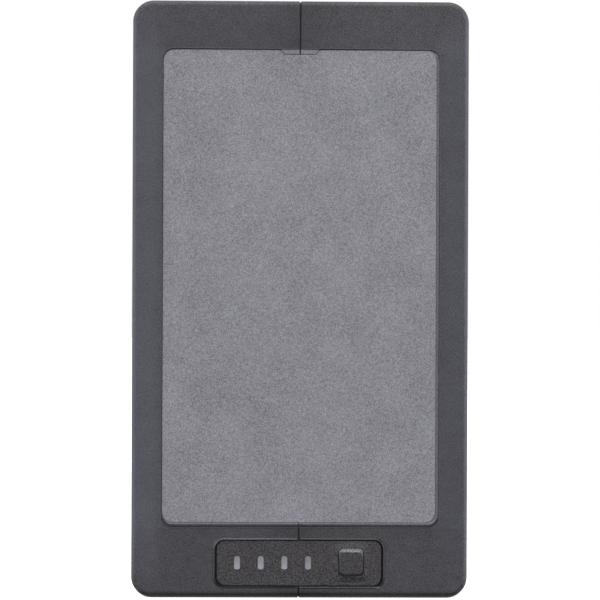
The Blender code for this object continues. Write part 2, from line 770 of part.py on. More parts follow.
def make_button(finish):
    """The key: a cap with a sloped top edge, a flange behind the panel and a post over the switch."""
    flange_front = PANEL_BELOW_FRONT + PANEL_THICKNESS + GAP
    flange_rear = flange_front + BUTTON_FLANGE_THICKNESS
    flange = rounded_outline(
        BUTTON_WIDTH + 2 * BUTTON_FLANGE, BUTTON_HEIGHT + 2 * BUTTON_FLANGE, BUTTON_RADIUS + BUTTON_FLANGE
    )
    sections = [
        (cap_outline(BUTTON_EDGE, BUTTON_RAMP), -BUTTON_PROUD),
        (cap_outline(0.0, BUTTON_RAMP - BUTTON_EDGE), BUTTON_EDGE - BUTTON_PROUD),
        (cap_outline(0.0, 0.0), -BUTTON_FOOT),
        (cap_outline(0.0, 0.0), flange_front),
        (flange, flange_front),
        (flange, flange_rear),
    ]
    body = loft(bmesh.new(), sections, "Y")
    button = add_object("test_button", body, finish, (BUTTON_X, FRONT, BUTTON_Z))
    post_ends = (flange_rear - BUTTON_POST_ROOT, plunger_front() - GAP - FRONT)
    post = turned([(BUTTON_POST_RADIUS, w) for w in post_ends], "Y", SMALL_CIRCLE_STEPS)
    helper = add_helper("button_post", post)
    helper.parent = button
    join(button, helper)


# ---------------------------------------------------------------- display board


def switch_front():
    return DISPLAY_BOARD_FRONT - GAP - SWITCH_HEIGHT


def plunger_front():
    return switch_front() - PLUNGER_PROUD


def make_display_board(board_finish, led_finish, switch_finish, plunger_finish):
    """The board behind the panel, with an LED behind each window and the button's switch."""
    rear = DISPLAY_BOARD_FRONT + DISPLAY_BOARD_THICKNESS
    outline = rounded_outline(
        DISPLAY_BOARD_WIDTH,
        DISPLAY_BOARD_HEIGHT,
        DISPLAY_BOARD_RADIUS,
        TINY_CORNER_STEPS,
        (0.0, DISPLAY_BOARD_Z),
    )
    add_object("display_board", prism(outline, "Y", DISPLAY_BOARD_FRONT, rear), board_finish)

    lens = rounded_outline(LED_WIDTH, LED_HEIGHT, LED_RADIUS, TINY_CORNER_STEPS)
    for i, x in enumerate(window_positions(), 1):
        location = (x, DISPLAY_BOARD_FRONT - GAP - LED_THICKNESS, WINDOW_Z)
        add_object(f"led_{i}", prism(lens, "Y", 0.0, LED_THICKNESS), led_finish, location)

    square = rounded_outline(SWITCH_SIZE, SWITCH_SIZE, SWITCH_RADIUS, TINY_CORNER_STEPS)
    block = prism(square, "Y", 0.0, SWITCH_HEIGHT)
    housing = add_object("switch_housing", block, switch_finish, (BUTTON_X, switch_front(), BUTTON_Z))
    bore_radius = PLUNGER_RADIUS + PLUNGER_CLEARANCE
    bore_depth = PLUNGER_INSIDE + 2 * BUTTON_TRAVEL
    bore_mesh = turned([(bore_radius, -OVERLAP), (bore_radius, bore_depth)], "Y", SMALL_CIRCLE_STEPS)
    bore = add_helper("switch_bore", bore_mesh)
    bore.parent = housing
    cut(housing, bore)
    plunger_ends = (0.0, PLUNGER_PROUD + PLUNGER_INSIDE)
    plunger = turned([(PLUNGER_RADIUS, w) for w in plunger_ends], "Y", SMALL_CIRCLE_STEPS)
    add_object("switch_plunger", plunger, plunger_finish, (BUTTON_X, plunger_front(), BUTTON_Z))


def make_display_ribbon(finish):
    """A flat cable that arches from the display board back to the main board."""
    start = DISPLAY_BOARD_FRONT + DISPLAY_BOARD_THICKNESS + GAP
    end = MAIN_BOARD_FRONT - GAP
    foot_z = 17.0
    rise = 6.0
    steps = 12
    lower = []
    for i in range(steps + 1):
        share = i / steps
        lower.append((start + share * (end - start), foot_z + rise * math.sin(math.pi * share)))
    upper = [(y, z + RIBBON_THICKNESS) for y, z in reversed(lower)]
    half = RIBBON_WIDTH / 2
    mesh = prism(lower + upper, "X", -half, half)
    add_object("display_ribbon", mesh, finish, (DISPLAY_RIBBON_X, 0.0, 0.0))


# ---------------------------------------------------------------- tray, main board, socket


def side_pilot_holes(name, z):
    """Blind holes in a carrier's or tray's two ends, for the shell screws."""
    mesh = bmesh.new()
    radius = SCREW_RADIUS + GAP
    deep = CASE_WIDTH / 2 - SCREW_BELOW_SIDE - SCREW_LENGTH - GAP
    for side in (-1, 1):
        for y in (-SCREW_Y, SCREW_Y):
            ends = (side * deep, side * (CAVITY_SIDE + OVERLAP))
            turned([(radius, w) for w in ends], "X", SMALL_CIRCLE_STEPS, (y, z), mesh)
    return add_helper(name, mesh)


def board_screw_hole(x, front, rear, mesh):
    radius = BOARD_SCREW_RADIUS + GAP
    ends = (front - OVERLAP, rear + OVERLAP)
    turned([(radius, w) for w in ends], "Y", SMALL_CIRCLE_STEPS, (x, BOARD_SCREW_Z), mesh)


def make_tray(finish):
    """A floor between two end blocks, with two uprights that carry the main board."""
    outline = rounded_outline(
        CARRIER_WIDTH, TRAY_TOP - TRAY_BOTTOM, TRAY_RADIUS, centre=(0.0, (TRAY_TOP + TRAY_BOTTOM) / 2)
    )
    tray_front = CARRIER_Y - CARRIER_DEPTH / 2
    tray_rear = CARRIER_Y + CARRIER_DEPTH / 2
    tray = add_object("base_tray", prism(outline, "Y", tray_front, tray_rear), finish)
    half = TRAY_POCKET_HALF_WIDTH
    past_front = tray_front - OVERLAP
    pocket = box((-half, past_front, TRAY_FLOOR_TOP), (half, tray_rear + OVERLAP, TRAY_TOP + OVERLAP))
    board_half = DISPLAY_BOARD_WIDTH / 2 + GAP
    board_rear = DISPLAY_BOARD_FRONT + DISPLAY_BOARD_THICKNESS + GAP
    below = TRAY_BOTTOM - OVERLAP
    front_bay = box((-board_half, past_front, below), (board_half, board_rear, TRAY_TOP))
    opening = rounded_outline(SOCKET_WIDTH + 2 * GAP, SOCKET_DEPTH + 2 * GAP, SOCKET_RADIUS + GAP)
    cut(
        tray,
        add_helper("tray_pocket", pocket),
        add_helper("tray_front_bay", front_bay),
        add_helper("tray_socket_opening", prism(opening, "Z", below, TRAY_FLOOR_TOP + OVERLAP)),
        side_pilot_holes("tray_pilots", SCREW_LOW_Z),
    )
    upright_front = MAIN_BOARD_FRONT + MAIN_BOARD_THICKNESS + GAP
    pilots = bmesh.new()
    for side in (-1, 1):
        x = side * BOARD_SCREW_X
        low = (x - UPRIGHT_WIDTH / 2, upright_front, TRAY_FLOOR_TOP - OVERLAP)
        high = (x + UPRIGHT_WIDTH / 2, upright_front + UPRIGHT_THICKNESS, UPRIGHT_TOP)
        join(tray, add_helper(f"upright_{side}", box(low, high)))
        board_screw_hole(x, upright_front, upright_front + UPRIGHT_THICKNESS, pilots)
    cut(tray, add_helper("upright_pilots", pilots))


def make_main_board(board_finish, screw_finish):
    outline = rounded_outline(
        MAIN_BOARD_WIDTH,
        MAIN_BOARD_TOP - MAIN_BOARD_BOTTOM,
        MAIN_BOARD_RADIUS,
        TINY_CORNER_STEPS,
        (0.0, (MAIN_BOARD_TOP + MAIN_BOARD_BOTTOM) / 2),
    )
    rear = MAIN_BOARD_FRONT + MAIN_BOARD_THICKNESS
    board = add_object("main_board", prism(outline, "Y", MAIN_BOARD_FRONT, rear), board_finish)
    holes = bmesh.new()
    for side, name in ((-1, "board_screw_left"), (1, "board_screw_right")):
        x = side * BOARD_SCREW_X
        board_screw_hole(x, MAIN_BOARD_FRONT, rear, holes)
        head = BOARD_SCREW_HEAD_RADIUS
        under_head = BOARD_SCREW_HEAD_HEIGHT
        shank = BOARD_SCREW_RADIUS
        profile = [(head, 0.0), (head, under_head), (shank, under_head), (shank, BOARD_SCREW_LENGTH)]
        start = MAIN_BOARD_FRONT - GAP - under_head
        mesh = turned(profile, "Y", SMALL_CIRCLE_STEPS)
        add_object(name, mesh, screw_finish, (x, start, BOARD_SCREW_Z))
    cut(board, add_helper("main_board_holes", holes))


def make_board_components(finishes):
    """The main board's large components, all on its front face."""
    face = MAIN_BOARD_FRONT - GAP
    fins = comb_outline(
        HEAT_SINK_WIDTH, HEAT_SINK_BASE, HEAT_SINK_DEPTH, HEAT_SINK_FINS, HEAT_SINK_FIN_THICKNESS
    )
    coil = rounded_outline(INDUCTOR_SIZE, INDUCTOR_SIZE, INDUCTOR_RADIUS)
    fuse = rounded_outline(FUSE_WIDTH, FUSE_HEIGHT, FUSE_RADIUS, TINY_CORNER_STEPS)
    components = (
        ("power_inductor", prism(coil, "Y", -INDUCTOR_HEIGHT, 0.0), "ferrite", INDUCTOR_AT),
        ("capacitor", turned(CAPACITOR_PROFILE, "Y"), "aluminium", CAPACITOR_AT),
        ("heat_sink", prism(fins, "Z", 0.0, HEAT_SINK_HEIGHT), "aluminium", HEAT_SINK_AT),
        ("blade_fuse", prism(fuse, "Y", -FUSE_HEIGHT, 0.0), "fuse", FUSE_AT),
    )
    for name, mesh, finish, (x, z) in components:
        add_object(name, mesh, finishes[finish], (x, face, z))


def make_socket(housing_finish, contact_finish):
    """A plug socket that opens downwards, held by a collar above the base wall."""
    outline = rounded_outline(SOCKET_WIDTH, SOCKET_DEPTH, SOCKET_RADIUS)
    collar = rounded_outline(
        SOCKET_WIDTH + 2 * SOCKET_COLLAR, SOCKET_DEPTH + 2 * SOCKET_COLLAR, SOCKET_RADIUS + SOCKET_COLLAR
    )
    collar_bottom = WALL + GAP
    collar_top = collar_bottom + SOCKET_COLLAR_THICKNESS
    sections = [
        (outline, SOCKET_BOTTOM),
        (outline, collar_bottom),
        (collar, collar_bottom),
        (collar, collar_top),
        (outline, collar_top),
        (outline, SOCKET_TOP),
    ]
    socket = add_object("power_socket", loft(bmesh.new(), sections, "Z"), housing_finish)
    mouth_outline = rounded_outline(MOUTH_WIDTH, MOUTH_DEPTH, MOUTH_RADIUS, TINY_CORNER_STEPS)
    mouth = prism(mouth_outline, "Z", -OVERLAP, MOUTH_CEILING)
    slots = bmesh.new()
    half_thickness = CONTACT_THICKNESS / 2
    half_width = CONTACT_WIDTH / 2
    for side, name in ((-1, "contact_minus"), (1, "contact_plus")):
        x = side * CONTACT_X
        slot_half = half_thickness + CONTACT_CLEARANCE
        slot_side = half_width + CONTACT_CLEARANCE
        low = (x - slot_half, -slot_side, MOUTH_CEILING - OVERLAP)
        box(low, (x + slot_half, slot_side, SOCKET_TOP + OVERLAP), slots)
        tail_end = MAIN_BOARD_FRONT - GAP
        profile = [
            (-half_width, CONTACT_BOTTOM + CONTACT_TAPER),
            (-half_width + CONTACT_TAPER, CONTACT_BOTTOM),
            (half_width - CONTACT_TAPER, CONTACT_BOTTOM),
            (half_width, CONTACT_BOTTOM + CONTACT_TAPER),
            (half_width, CONTACT_TAIL_BOTTOM),
            (tail_end, CONTACT_TAIL_BOTTOM),
            (tail_end, CONTACT_TOP),
            (-half_width, CONTACT_TOP),
        ]
        mesh = prism(profile, "X", -half_thickness, half_thickness)
        add_object(name, mesh, contact_finish, (x, 0.0, 0.0))
    cut(socket, add_helper("socket_mouth", mouth), add_helper("contact_slots", slots))


# ---------------------------------------------------------------- cells


def make_cells(finish):
    """Two rows of four. The right half stands on its caps, so that the strips join them in series."""
    profile = [
        (CELL_RADIUS - CELL_ROUNDING, 0.0),
        (CELL_RADIUS, CELL_ROUNDING),
        (CELL_RADIUS, CELL_CAN_HEIGHT - CELL_ROUNDING),
        (CELL_RADIUS - CELL_ROUNDING, CELL_CAN_HEIGHT),
        (CELL_CAP_RADIUS, CELL_CAN_HEIGHT),
        (CELL_CAP_RADIUS, CELL_HEIGHT),
    ]
    number = 0
    for bottom in (LOWER_CELL_Z, UPPER_CELL_Z):
        for x in CELL_COLUMNS:
            number += 1
            upside_down = x > 0
            start = bottom + (CELL_HEIGHT if upside_down else 0.0)
            turn = (math.pi, 0.0, 0.0) if upside_down else (0.0, 0.0, 0.0)
            add_object(f"cell_{number}", turned(profile, "Z"), finish, (x, CELL_Y, start), turn)


def socket_cutters(name, low_z, high_z, slots):
    """Four round sockets, and the slots between them that the link strips lie in."""
    radius = CELL_RADIUS + SOCKET_CLEARANCE
    sockets = bmesh.new()
    for x in CELL_COLUMNS:
        turned([(radius, low_z), (radius, high_z)], "Z", CIRCLE_STEPS, (x, CELL_Y), sockets)
    half = STRIP_WIDTH / 2 + STRIP_CLEARANCE
    channels = bmesh.new()
    for low_x, high_x in slots:
        box((low_x, CELL_Y - half, low_z), (high_x, CELL_Y + half, high_z), channels)
    return add_helper(f"{name}_sockets", sockets), add_helper(f"{name}_channels", channels)


def ribbon_notch(name, low_z, high_z):
    half = RIBBON_WIDTH / 2 + RIBBON_CLEARANCE
    return add_helper(name, box((-half, RIBBON_NOTCH_FRONT, low_z), (half, REAR, high_z)))


def make_carriers(finish):
    """Three plates that hold the cells' ends: below, between and above the two rows."""
    plan = rounded_outline(CARRIER_WIDTH, CARRIER_DEPTH, CARRIER_RADIUS, centre=(0.0, CARRIER_Y))
    pairs = ((CELL_COLUMNS[0], CELL_COLUMNS[1]), (CELL_COLUMNS[2], CELL_COLUMNS[3]))

    low = add_object("low_carrier", prism(plan, "Z", LOW_CARRIER_BOTTOM, LOW_CARRIER_TOP), finish)
    floor = LOW_CARRIER_BOTTOM + CARRIER_FLOOR
    above = LOW_CARRIER_TOP + OVERLAP
    below = LOW_CARRIER_BOTTOM - OVERLAP
    tabs = bmesh.new()
    notches = bmesh.new()
    half = LEAD_CHANNEL_HALF
    for side in (-1, 1):
        x = side * LEAD_X
        box((x - half, CELL_Y, floor), (x + half, REAR, above), tabs)
        box((x - half, LEAD_Y - half, below), (x + half, REAR, floor + OVERLAP), notches)
    cut(
        low,
        *socket_cutters("low", floor, above, pairs),
        add_helper("low_tab_channels", tabs),
        add_helper("low_lead_notches", notches),
        ribbon_notch("low_ribbon_notch", below, above),
    )

    mid_bottom = MID_CARRIER_Z - MID_CARRIER_HALF_HEIGHT
    mid_top = MID_CARRIER_Z + MID_CARRIER_HALF_HEIGHT
    mid = add_object("mid_carrier", prism(plan, "Z", mid_bottom, mid_top), finish)
    cut(
        mid,
        *socket_cutters("mid", mid_bottom - OVERLAP, mid_top + OVERLAP, pairs),
        ribbon_notch("mid_ribbon_notch", mid_bottom - OVERLAP, mid_top + OVERLAP),
    )

    face = rounded_outline(
        CARRIER_WIDTH,
        TOP_CARRIER_TOP - TOP_CARRIER_BOTTOM,
        TOP_CARRIER_RADIUS,
        centre=(0.0, (TOP_CARRIER_TOP + TOP_CARRIER_BOTTOM) / 2),
    )
    top_front = CARRIER_Y - CARRIER_DEPTH / 2
    top = add_object("top_carrier", prism(face, "Y", top_front, top_front + CARRIER_DEPTH), finish)
    below = TOP_CARRIER_BOTTOM - OVERLAP
    whole_row = ((CELL_COLUMNS[0], CELL_COLUMNS[3]),)
    cut(
        top,
        *socket_cutters("top", below, TOP_SOCKET_CEILING, whole_row),
        ribbon_notch("top_ribbon_notch", below, TOP_CARRIER_TOP + OVERLAP),
        side_pilot_holes("top_pilots", SCREW_HIGH_Z),
    )


def strip_outline(low_x, high_x, tab_x=None):
    """A link strip's plan, with a tab towards the rear where a lead is soldered on."""
    front = CELL_Y - STRIP_WIDTH / 2
    rear = CELL_Y + STRIP_WIDTH / 2
    points = [(low_x, front), (high_x, front), (high_x, rear)]
    if tab_x is not None:
        tab_end = LEAD_Y + TAB_BEHIND_LEAD
        points += [(tab_x + TAB_HALF_WIDTH, rear), (tab_x + TAB_HALF_WIDTH, tab_end)]
        points += [(tab_x - TAB_HALF_WIDTH, tab_end), (tab_x - TAB_HALF_WIDTH, rear)]
    return points + [(low_x, rear)]


def make_strips(finish):
    """Nickel strips: two ends of the pack, two links between the rows and one over the top."""
    left = (CELL_COLUMNS[0] - STRIP_REACH, CELL_COLUMNS[1] + STRIP_REACH)
    right = (CELL_COLUMNS[2] - STRIP_REACH, CELL_COLUMNS[3] + STRIP_REACH)
    strips = {
        "strip_pack_minus": (strip_outline(*left, tab_x=-LEAD_X), LOW_STRIP_Z),
        "strip_pack_plus": (strip_outline(*right, tab_x=LEAD_X), LOW_STRIP_Z),
        "strip_mid_left": (strip_outline(*left), MID_STRIP_Z),
        "strip_mid_right": (strip_outline(*right), MID_STRIP_Z),
        "strip_top": (strip_outline(left[0], right[1]), TOP_STRIP_Z),
    }
    for name, (outline, z) in strips.items():
        add_object(name, prism(outline, "Z", 0.0, STRIP_THICKNESS), finish, (0.0, 0.0, z))


def make_lead(name, x, finish):
    """A wire from a strip's tab down behind the main board, then forward to its rear face."""
    bend = LEAD_Y - (MAIN_BOARD_FRONT + MAIN_BOARD_THICKNESS + GAP)
    bend_z = 55.0
    points = [(LEAD_Y, LOW_STRIP_Z - GAP)]
    steps = 6
    for i in range(steps + 1):
        angle = math.pi / 2 * i / steps
        points.append((LEAD_Y - bend + bend * math.cos(angle), bend_z - bend * math.sin(angle)))
    data = bpy.data.curves.new(name, "CURVE")
    data.dimensions = "3D"
    data.bevel_depth = LEAD_RADIUS * MM
    data.bevel_resolution = 2
    data.use_fill_caps = True
    spline = data.splines.new("POLY")
    spline.points.add(len(points) - 1)
    for point, (y, z) in zip(spline.points, points):
        point.co = (0.0, y * MM, z * MM, 1.0)
    data.materials.append(finish)
    lead = bpy.data.objects.new(name, data)
    lead.location = (x * MM, 0.0, 0.0)
    bpy.context.scene.collection.objects.link(lead)


def make_sense_ribbon(finish):
    """A flat cable behind the cells that turns in to the main board's rear face."""
    board_rear = MAIN_BOARD_FRONT + MAIN_BOARD_THICKNESS + GAP
    bend_z = 60.0
    inner = RIBBON_Y - board_rear
    outer = inner + RIBBON_THICKNESS
    steps = 5
    turns = [math.pi / 2 * i / steps for i in range(steps + 1)]
    outline = [(RIBBON_Y, RIBBON_TOP), (RIBBON_Y + RIBBON_THICKNESS, RIBBON_TOP)]
    for radius, angles in ((outer, turns), (inner, reversed(turns))):
        outline += [
            (board_rear + radius * math.cos(angle), bend_z - radius * math.sin(angle)) for angle in angles
        ]
    half = RIBBON_WIDTH / 2
    add_object("sense_ribbon", prism(outline, "X", -half, half), finish)


def make_foam(finish):
    """Pads between the cells and the front wall, one for each row."""
    rear = CELL_Y - CELL_RADIUS - GAP
    front = CAVITY_FRONT + GAP
    mid_bottom = MID_CARRIER_Z - MID_CARRIER_HALF_HEIGHT
    mid_top = MID_CARRIER_Z + MID_CARRIER_HALF_HEIGHT
    spans = {
        "foam_pad_low": (LOW_CARRIER_TOP + FOAM_FROM_CARRIER, mid_bottom - FOAM_FROM_CARRIER),
        "foam_pad_high": (mid_top + FOAM_FROM_CARRIER, TOP_CARRIER_BOTTOM - FOAM_FROM_CARRIER),
    }
    for name, (low_z, high_z) in spans.items():
        mesh = box((-FOAM_HALF_WIDTH, front, 0.0), (FOAM_HALF_WIDTH, rear, high_z - low_z))
        add_object(name, mesh, finish, (0.0, 0.0, low_z))


def main():
    clear_scene()
    finishes = make_materials()
    make_shells(finishes["shell"])
    make_seal(finishes["rubber"])
    make_shell_screws(finishes["steel"])
    make_label(finishes["label"])
    make_wall_strips(finishes["rubber"])
    make_panel(finishes["panel"])
    make_light_pipes(finishes["frosted"])
    make_button(finishes["panel"])
    make_display_board(finishes["board"], finishes["led"], finishes["carrier"], finishes["led"])
    make_display_ribbon(finishes["led"])
    make_tray(finishes["carrier"])
    make_main_board(finishes["board"], finishes["steel"])
    make_board_components(finishes)
    make_socket(finishes["carrier"], finishes["brass"])
    make_cells(finishes["cell_wrap"])
    make_carriers(finishes["carrier"])
    make_strips(finishes["nickel"])
    make_lead("lead_minus", -LEAD_X, finishes["black_wire"])
    make_lead("lead_plus", LEAD_X, finishes["red_wire"])
    make_sense_ribbon(finishes["led"])
    make_foam(finishes["foam"])


main()
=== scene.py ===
"""The looks of a wall battery unit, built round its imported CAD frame.

Sizes are millimetres in the CAD's own frame: +Z up, +X to the right as seen from the front, the
front faces -Y. They turn into Blender's metres when a mesh is made. The places and outer sizes of
pieces come from the boxes of the CAD nodes that they stand for.
"""

import json
import math

import bmesh
import bpy
from mathutils import Matrix, Vector


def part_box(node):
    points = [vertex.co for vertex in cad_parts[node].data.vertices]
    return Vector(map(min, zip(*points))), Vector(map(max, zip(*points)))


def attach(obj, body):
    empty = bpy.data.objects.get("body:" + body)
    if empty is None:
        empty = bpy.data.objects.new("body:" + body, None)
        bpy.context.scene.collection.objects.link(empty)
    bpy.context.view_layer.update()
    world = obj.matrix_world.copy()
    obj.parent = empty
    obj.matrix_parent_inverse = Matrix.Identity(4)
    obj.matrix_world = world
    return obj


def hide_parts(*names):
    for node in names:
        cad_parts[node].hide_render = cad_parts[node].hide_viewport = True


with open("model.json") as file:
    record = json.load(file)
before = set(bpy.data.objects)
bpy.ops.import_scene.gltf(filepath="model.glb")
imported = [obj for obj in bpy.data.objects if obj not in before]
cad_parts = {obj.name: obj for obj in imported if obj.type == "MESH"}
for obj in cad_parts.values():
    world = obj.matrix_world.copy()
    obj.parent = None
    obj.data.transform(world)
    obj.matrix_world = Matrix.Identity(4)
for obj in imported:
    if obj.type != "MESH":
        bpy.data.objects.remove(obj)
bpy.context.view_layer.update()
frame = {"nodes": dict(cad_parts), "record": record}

MM = 0.001
BEYOND = 3.0  # how far a cutter passes the surface that it opens
OVERLAP = 1.0  # how far a rib or box reaches into the wall that carries it
ROOT = 0.4  # how far a low raised shape starts below its face
GAP = 0.3  # between pieces that touch or slide
SOFT_ANGLE = 38.0  # a piece is shaded smooth up to this angle, in degrees
BEVEL_ANGLE = 45.0


class Box:
    """A CAD node's box at rest, in millimetres."""

    def __init__(self, *nodes):
        corners = [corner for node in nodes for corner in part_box(node)]
        self.low = [min(corner[axis] for corner in corners) / MM for axis in range(3)]
        self.high = [max(corner[axis] for corner in corners) / MM for axis in range(3)]
        self.size = [high - low for low, high in zip(self.low, self.high)]
        self.centre = [(high + low) / 2 for low, high in zip(self.low, self.high)]


class Sides:
    """A rounded rectangle: its sides along two axes, x and z in the front view, and its radius."""

    def __init__(self, x, z, radius, steps=12):
        self.x = x
        self.z = z
        self.radius = radius
        self.steps = steps

    def outline(self, outset=0.0):
        size = [high - low + 2 * outset for low, high in (self.x, self.z)]
        centre = [(low + high) / 2 for low, high in (self.x, self.z)]
        return rounded_outline(*size, self.radius + outset, self.steps, centre)


def box_sides(box, axes, radius, steps, margin=0.0):
    """A box's sides along two axes, moved out by a margin."""
    return Sides(*[(box.low[axis] - margin, box.high[axis] + margin) for axis in axes], radius, steps)


def even_sides(width, height, radius, steps=12, centre=(0.0, 0.0)):
    x, z = [(at - size / 2, at + size / 2) for at, size in zip(centre, (width, height))]
    return Sides(x, z, radius, steps)


class Recess(Sides):
    """A recess in the front, with a soft lip and a low bead round it."""

    def __init__(self, x, z, radius, depth, lip, bead, bead_width):
        super().__init__(x, z, radius)
        self.depth = depth
        self.lip = lip
        self.bead = bead
        self.bead_width = bead_width


CASE = Box("left_shell", "right_shell")
CASE_HEIGHT = CASE.size[2]
FRONT = CASE.low[1]
REAR = CASE.high[1]
SIDE = CASE.high[0]
MIDDLE_Z = CASE.centre[2]
LABEL = Box("front_label")
PANEL = Box("control_panel")
BUTTON = Box("test_button")
WINDOWS = [Box(f"light_pipe_{i}") for i in range(1, 5)]

# Case walls
CORNER_RADIUS = 7.5
EDGE_RADIUS = 2.0
WALL = 2.6
FRONT_WALL = 3.2
CAVITY_EDGE_RADIUS = 1.0
CAVITY_FRONT = FRONT + FRONT_WALL
CAVITY_REAR = REAR - WALL
CAVITY_SIDE = SIDE - WALL
CAVITY_RADIUS = CORNER_RADIUS - WALL
LEDGE_REACH = 2.2
LEDGE_HEIGHT = 2.5
RIB_HEIGHT = 2.0
RIB_THICKNESS = 1.4
RIB_PLACES = (88.0, 108.0, 148.5, 184.0)
RIB_TO_RIBBON = 3.0

# Joint between the half shells
SEAM_X = -0.35
SEAM_HALF_GAP = 0.19
SEAM_MEETING_HALF_GAP = 0.02
SEAM_GROOVE_DEPTH = 1.0
SEAM_END_DEPTH = 0.35
SEAM_SOFTENING = {-1: 0.3, 1: 0.65}
SEAM_DRAFT = 0.02
SEAM_BEND = 0.3
SEAM_RUN_OUT = ((0.0, 0.08), (0.35, 0.6))
SEAM_BEYOND_SIDE = 5.0
SEAM_BEYOND_FACES = 2.5
LIP = 1.0
LIP_EDGE = 0.15
LIP_INSIDE = 0.02
LIP_REACH = 2.4
SEAL_WIDTH = 1.6

# Front recesses
LABEL_RECESS = Recess((-49.25, 49.6), (25.15, 195.75), 3.9, depth=0.65, lip=0.05, bead=0.1, bead_width=0.3)
PANEL_RECESS = Recess((-30.2, 29.9), (4.25, 20.83), 3.5, depth=1.2, lip=0.08, bead=0.36, bead_width=0.5)
APERTURE = even_sides(52.0, 12.8, 1.5, 6, (0.0, 12.5))

# Bead round a recess: (share of its width, outward from the recess's lip, and share of its height)
BEAD_PROFILE = ((-0.8, 1.0), (0.04, 1.0), (0.16, 0.93), (0.54, 0.5), (0.84, 0.12), (1.0, -0.1))

# Label's seat, a low platform in the recess, and the groove round it as (share of the way from the
# seat's face to the recess's wall, depth)
SEAT = Sides((LABEL.low[0] - 0.15, LABEL.high[0] + 0.95), (LABEL.low[2] - 0.7, LABEL.high[2]), 3.8)
SEAT_GROOVE = ((-0.2, 0.6), (0.72, 0.82), (0.74, 1.6), (0.96, 1.6), (0.97, 0.4))
SEAT_HIGHEST = 0.15
SEAT_DEEPEST = LABEL_RECESS.depth + 0.05
FACING_FRONT = 0.9

# Groove under the panel's rim: it reaches in under the panel's edge
MOAT_REACH = 0.9
MOAT_WALL_INSET = 0.05
MOAT_DEPTH = 1.9

# Label
LABEL_SHEET = Sides((LABEL.low[0], LABEL.high[0] - 0.15), (LABEL.low[2], LABEL.high[2] - 0.08), 3.8)
LABEL_EDGE = 0.07
NOTCH_X = -0.3
NOTCH_WIDTH = 14.2
NOTCH_DEPTH = 1.75
NOTCH_RUN = 1.2
NOTCH_ROUNDING = 0.9
NOTCH_MOUTH_ROUNDING = 0.35
NOTCH_GAP = 0.2
NOTCH_LAND_RISE = 0.2
NOTCH_LAND_ROOT = 0.3
NOTCH_LAND_EDGE = 0.08

# Panel, windows and button
PANEL_PLATE = Sides((PANEL.low[0], PANEL.high[0] - 0.2), (PANEL.low[2], PANEL.high[2] + 0.35), 3.0)
PANEL_FACE = FRONT + 0.05
PANEL_EDGE = 0.1
PANEL_REAR_EDGE = 0.05
HOLE_LIP = 0.12
WINDOW_RADIUS = 0.7
WINDOW_CLEARANCE = 0.1
PIPE_SHOULDER = 0.5
PIPE_EDGE = 0.15
DISH_DEPTH = 0.22
BUTTON_RADIUS = 1.4
BUTTON_SIDE_GAP = 0.3
BUTTON_TOP_GAP = 0.08
BUTTON_BOTTOM_GAP = 0.53
BUTTON_FLANGE = 0.8
BUTTON_FLANGE_THICKNESS = 0.8
BUTTON_RAMP = 1.3
BUTTON_RAMP_CURVE = 1.1
BUTTON_TOP_STEP = 0.03
BUTTON_EDGE = 0.25
BUTTON_CROWN_EDGE = 0.12
BUTTON_ROUNDER = 0.5
BUTTON_POST_RADIUS = 2.0
BUTTON_SOFT_ANGLE = 25.0
MOUND_FOOT = even_sides(13.8, 14.5, 3.0, centre=(BUTTON.centre[0], 12.65))
MOUND_RIM = 0.15
MOUND_FALL = (9.5, 17.4)
MOUND_TOP_SHARE = 0.3
MOUND_SLOPE = ((0.0, -0.05), (0.12, 0.05), (0.25, 0.17), (0.75, 0.8), (0.9, 0.95), (1.0, 1.0))

# Side screws
SCREW_HEAD_RADIUS = 2.8
SCREW_HEAD_HEIGHT = 1.6
SCREW_RADIUS = 1.45
SCREW_BELOW_SIDE = 0.15
SCREW_RIM = 0.12
SCREW_PITCH = 1.1
SCREW_CORE = 0.72 * SCREW_RADIUS
SCREW_TIP = 0.3 * SCREW_RADIUS
SCREW_TIP_LENGTH = 1.6
CROSS_ARM = 1.7
CROSS_HALF_WIDTH = 0.36
CROSS_DEPTH = 1.1
CROSS_TAPER = 0.55
CROSS_ABOVE = 0.5
SCREW_SEAT_GAP = 0.15
SCREW_SEAT_FLARE = 0.55
SCREW_SEAT_LIP = 0.25
SCREW_SEAT_SOFTENING = 0.05
SCREW_SEAT_SOFTENING_DEPTH = 0.03

# Rear
KEYHOLE_X = 32.0
KEYHOLE_ENTRY_Z = 158.0
KEYHOLE_ENTRY_RADIUS = 4.5
KEYHOLE_SLOT_WIDTH = 4.6
KEYHOLE_TRAVEL = 9.5
REAR_LIP = 0.3
POCKET_WIDTH = 12.0
POCKET_HEIGHT = 20.0
POCKET_DEPTH = 4.5
POCKET_WALL = 1.2
WALL_STRIP_GROOVE = 0.8
WALL_STRIP_LIP = 0.25
WALL_STRIP_EDGE = 0.35
WALL_STRIP_FRONT_EDGE = 0.1
WALL_STRIP_SOFT_ANGLE = 30.0
GRIPS = 34
GRIP_FROM_END = 6.0
GRIP_FROM_SIDE = 0.9
GRIP_PROFILE = ((0.2, -0.9), (0.2, 0.9), (-0.4, 0.3), (-0.4, -0.3))

# Base socket
SOCKET_RADIUS = 1.2
SOCKET_CUT = even_sides(30.6, 14.6, SOCKET_RADIUS + GAP, 8)
SOCKET_EDGE = 0.3
SOCKET_COLLAR = 2.0
SOCKET_COLLAR_THICKNESS = 1.6
MOUTH = even_sides(24.0, 9.0, 1.0, 6)
MOUTH_CEILING = 13.4
MOUTH_LIP = 0.5
CONTACT_SLOT_MARGIN = 0.2
CONTACT_TAPER = 1.0
CONTACT_TAIL = 3.0
CONTACT_EDGE = 0.18

# Foam pads
PAD_RADIUS = 3.0
PAD_EDGE = 1.1

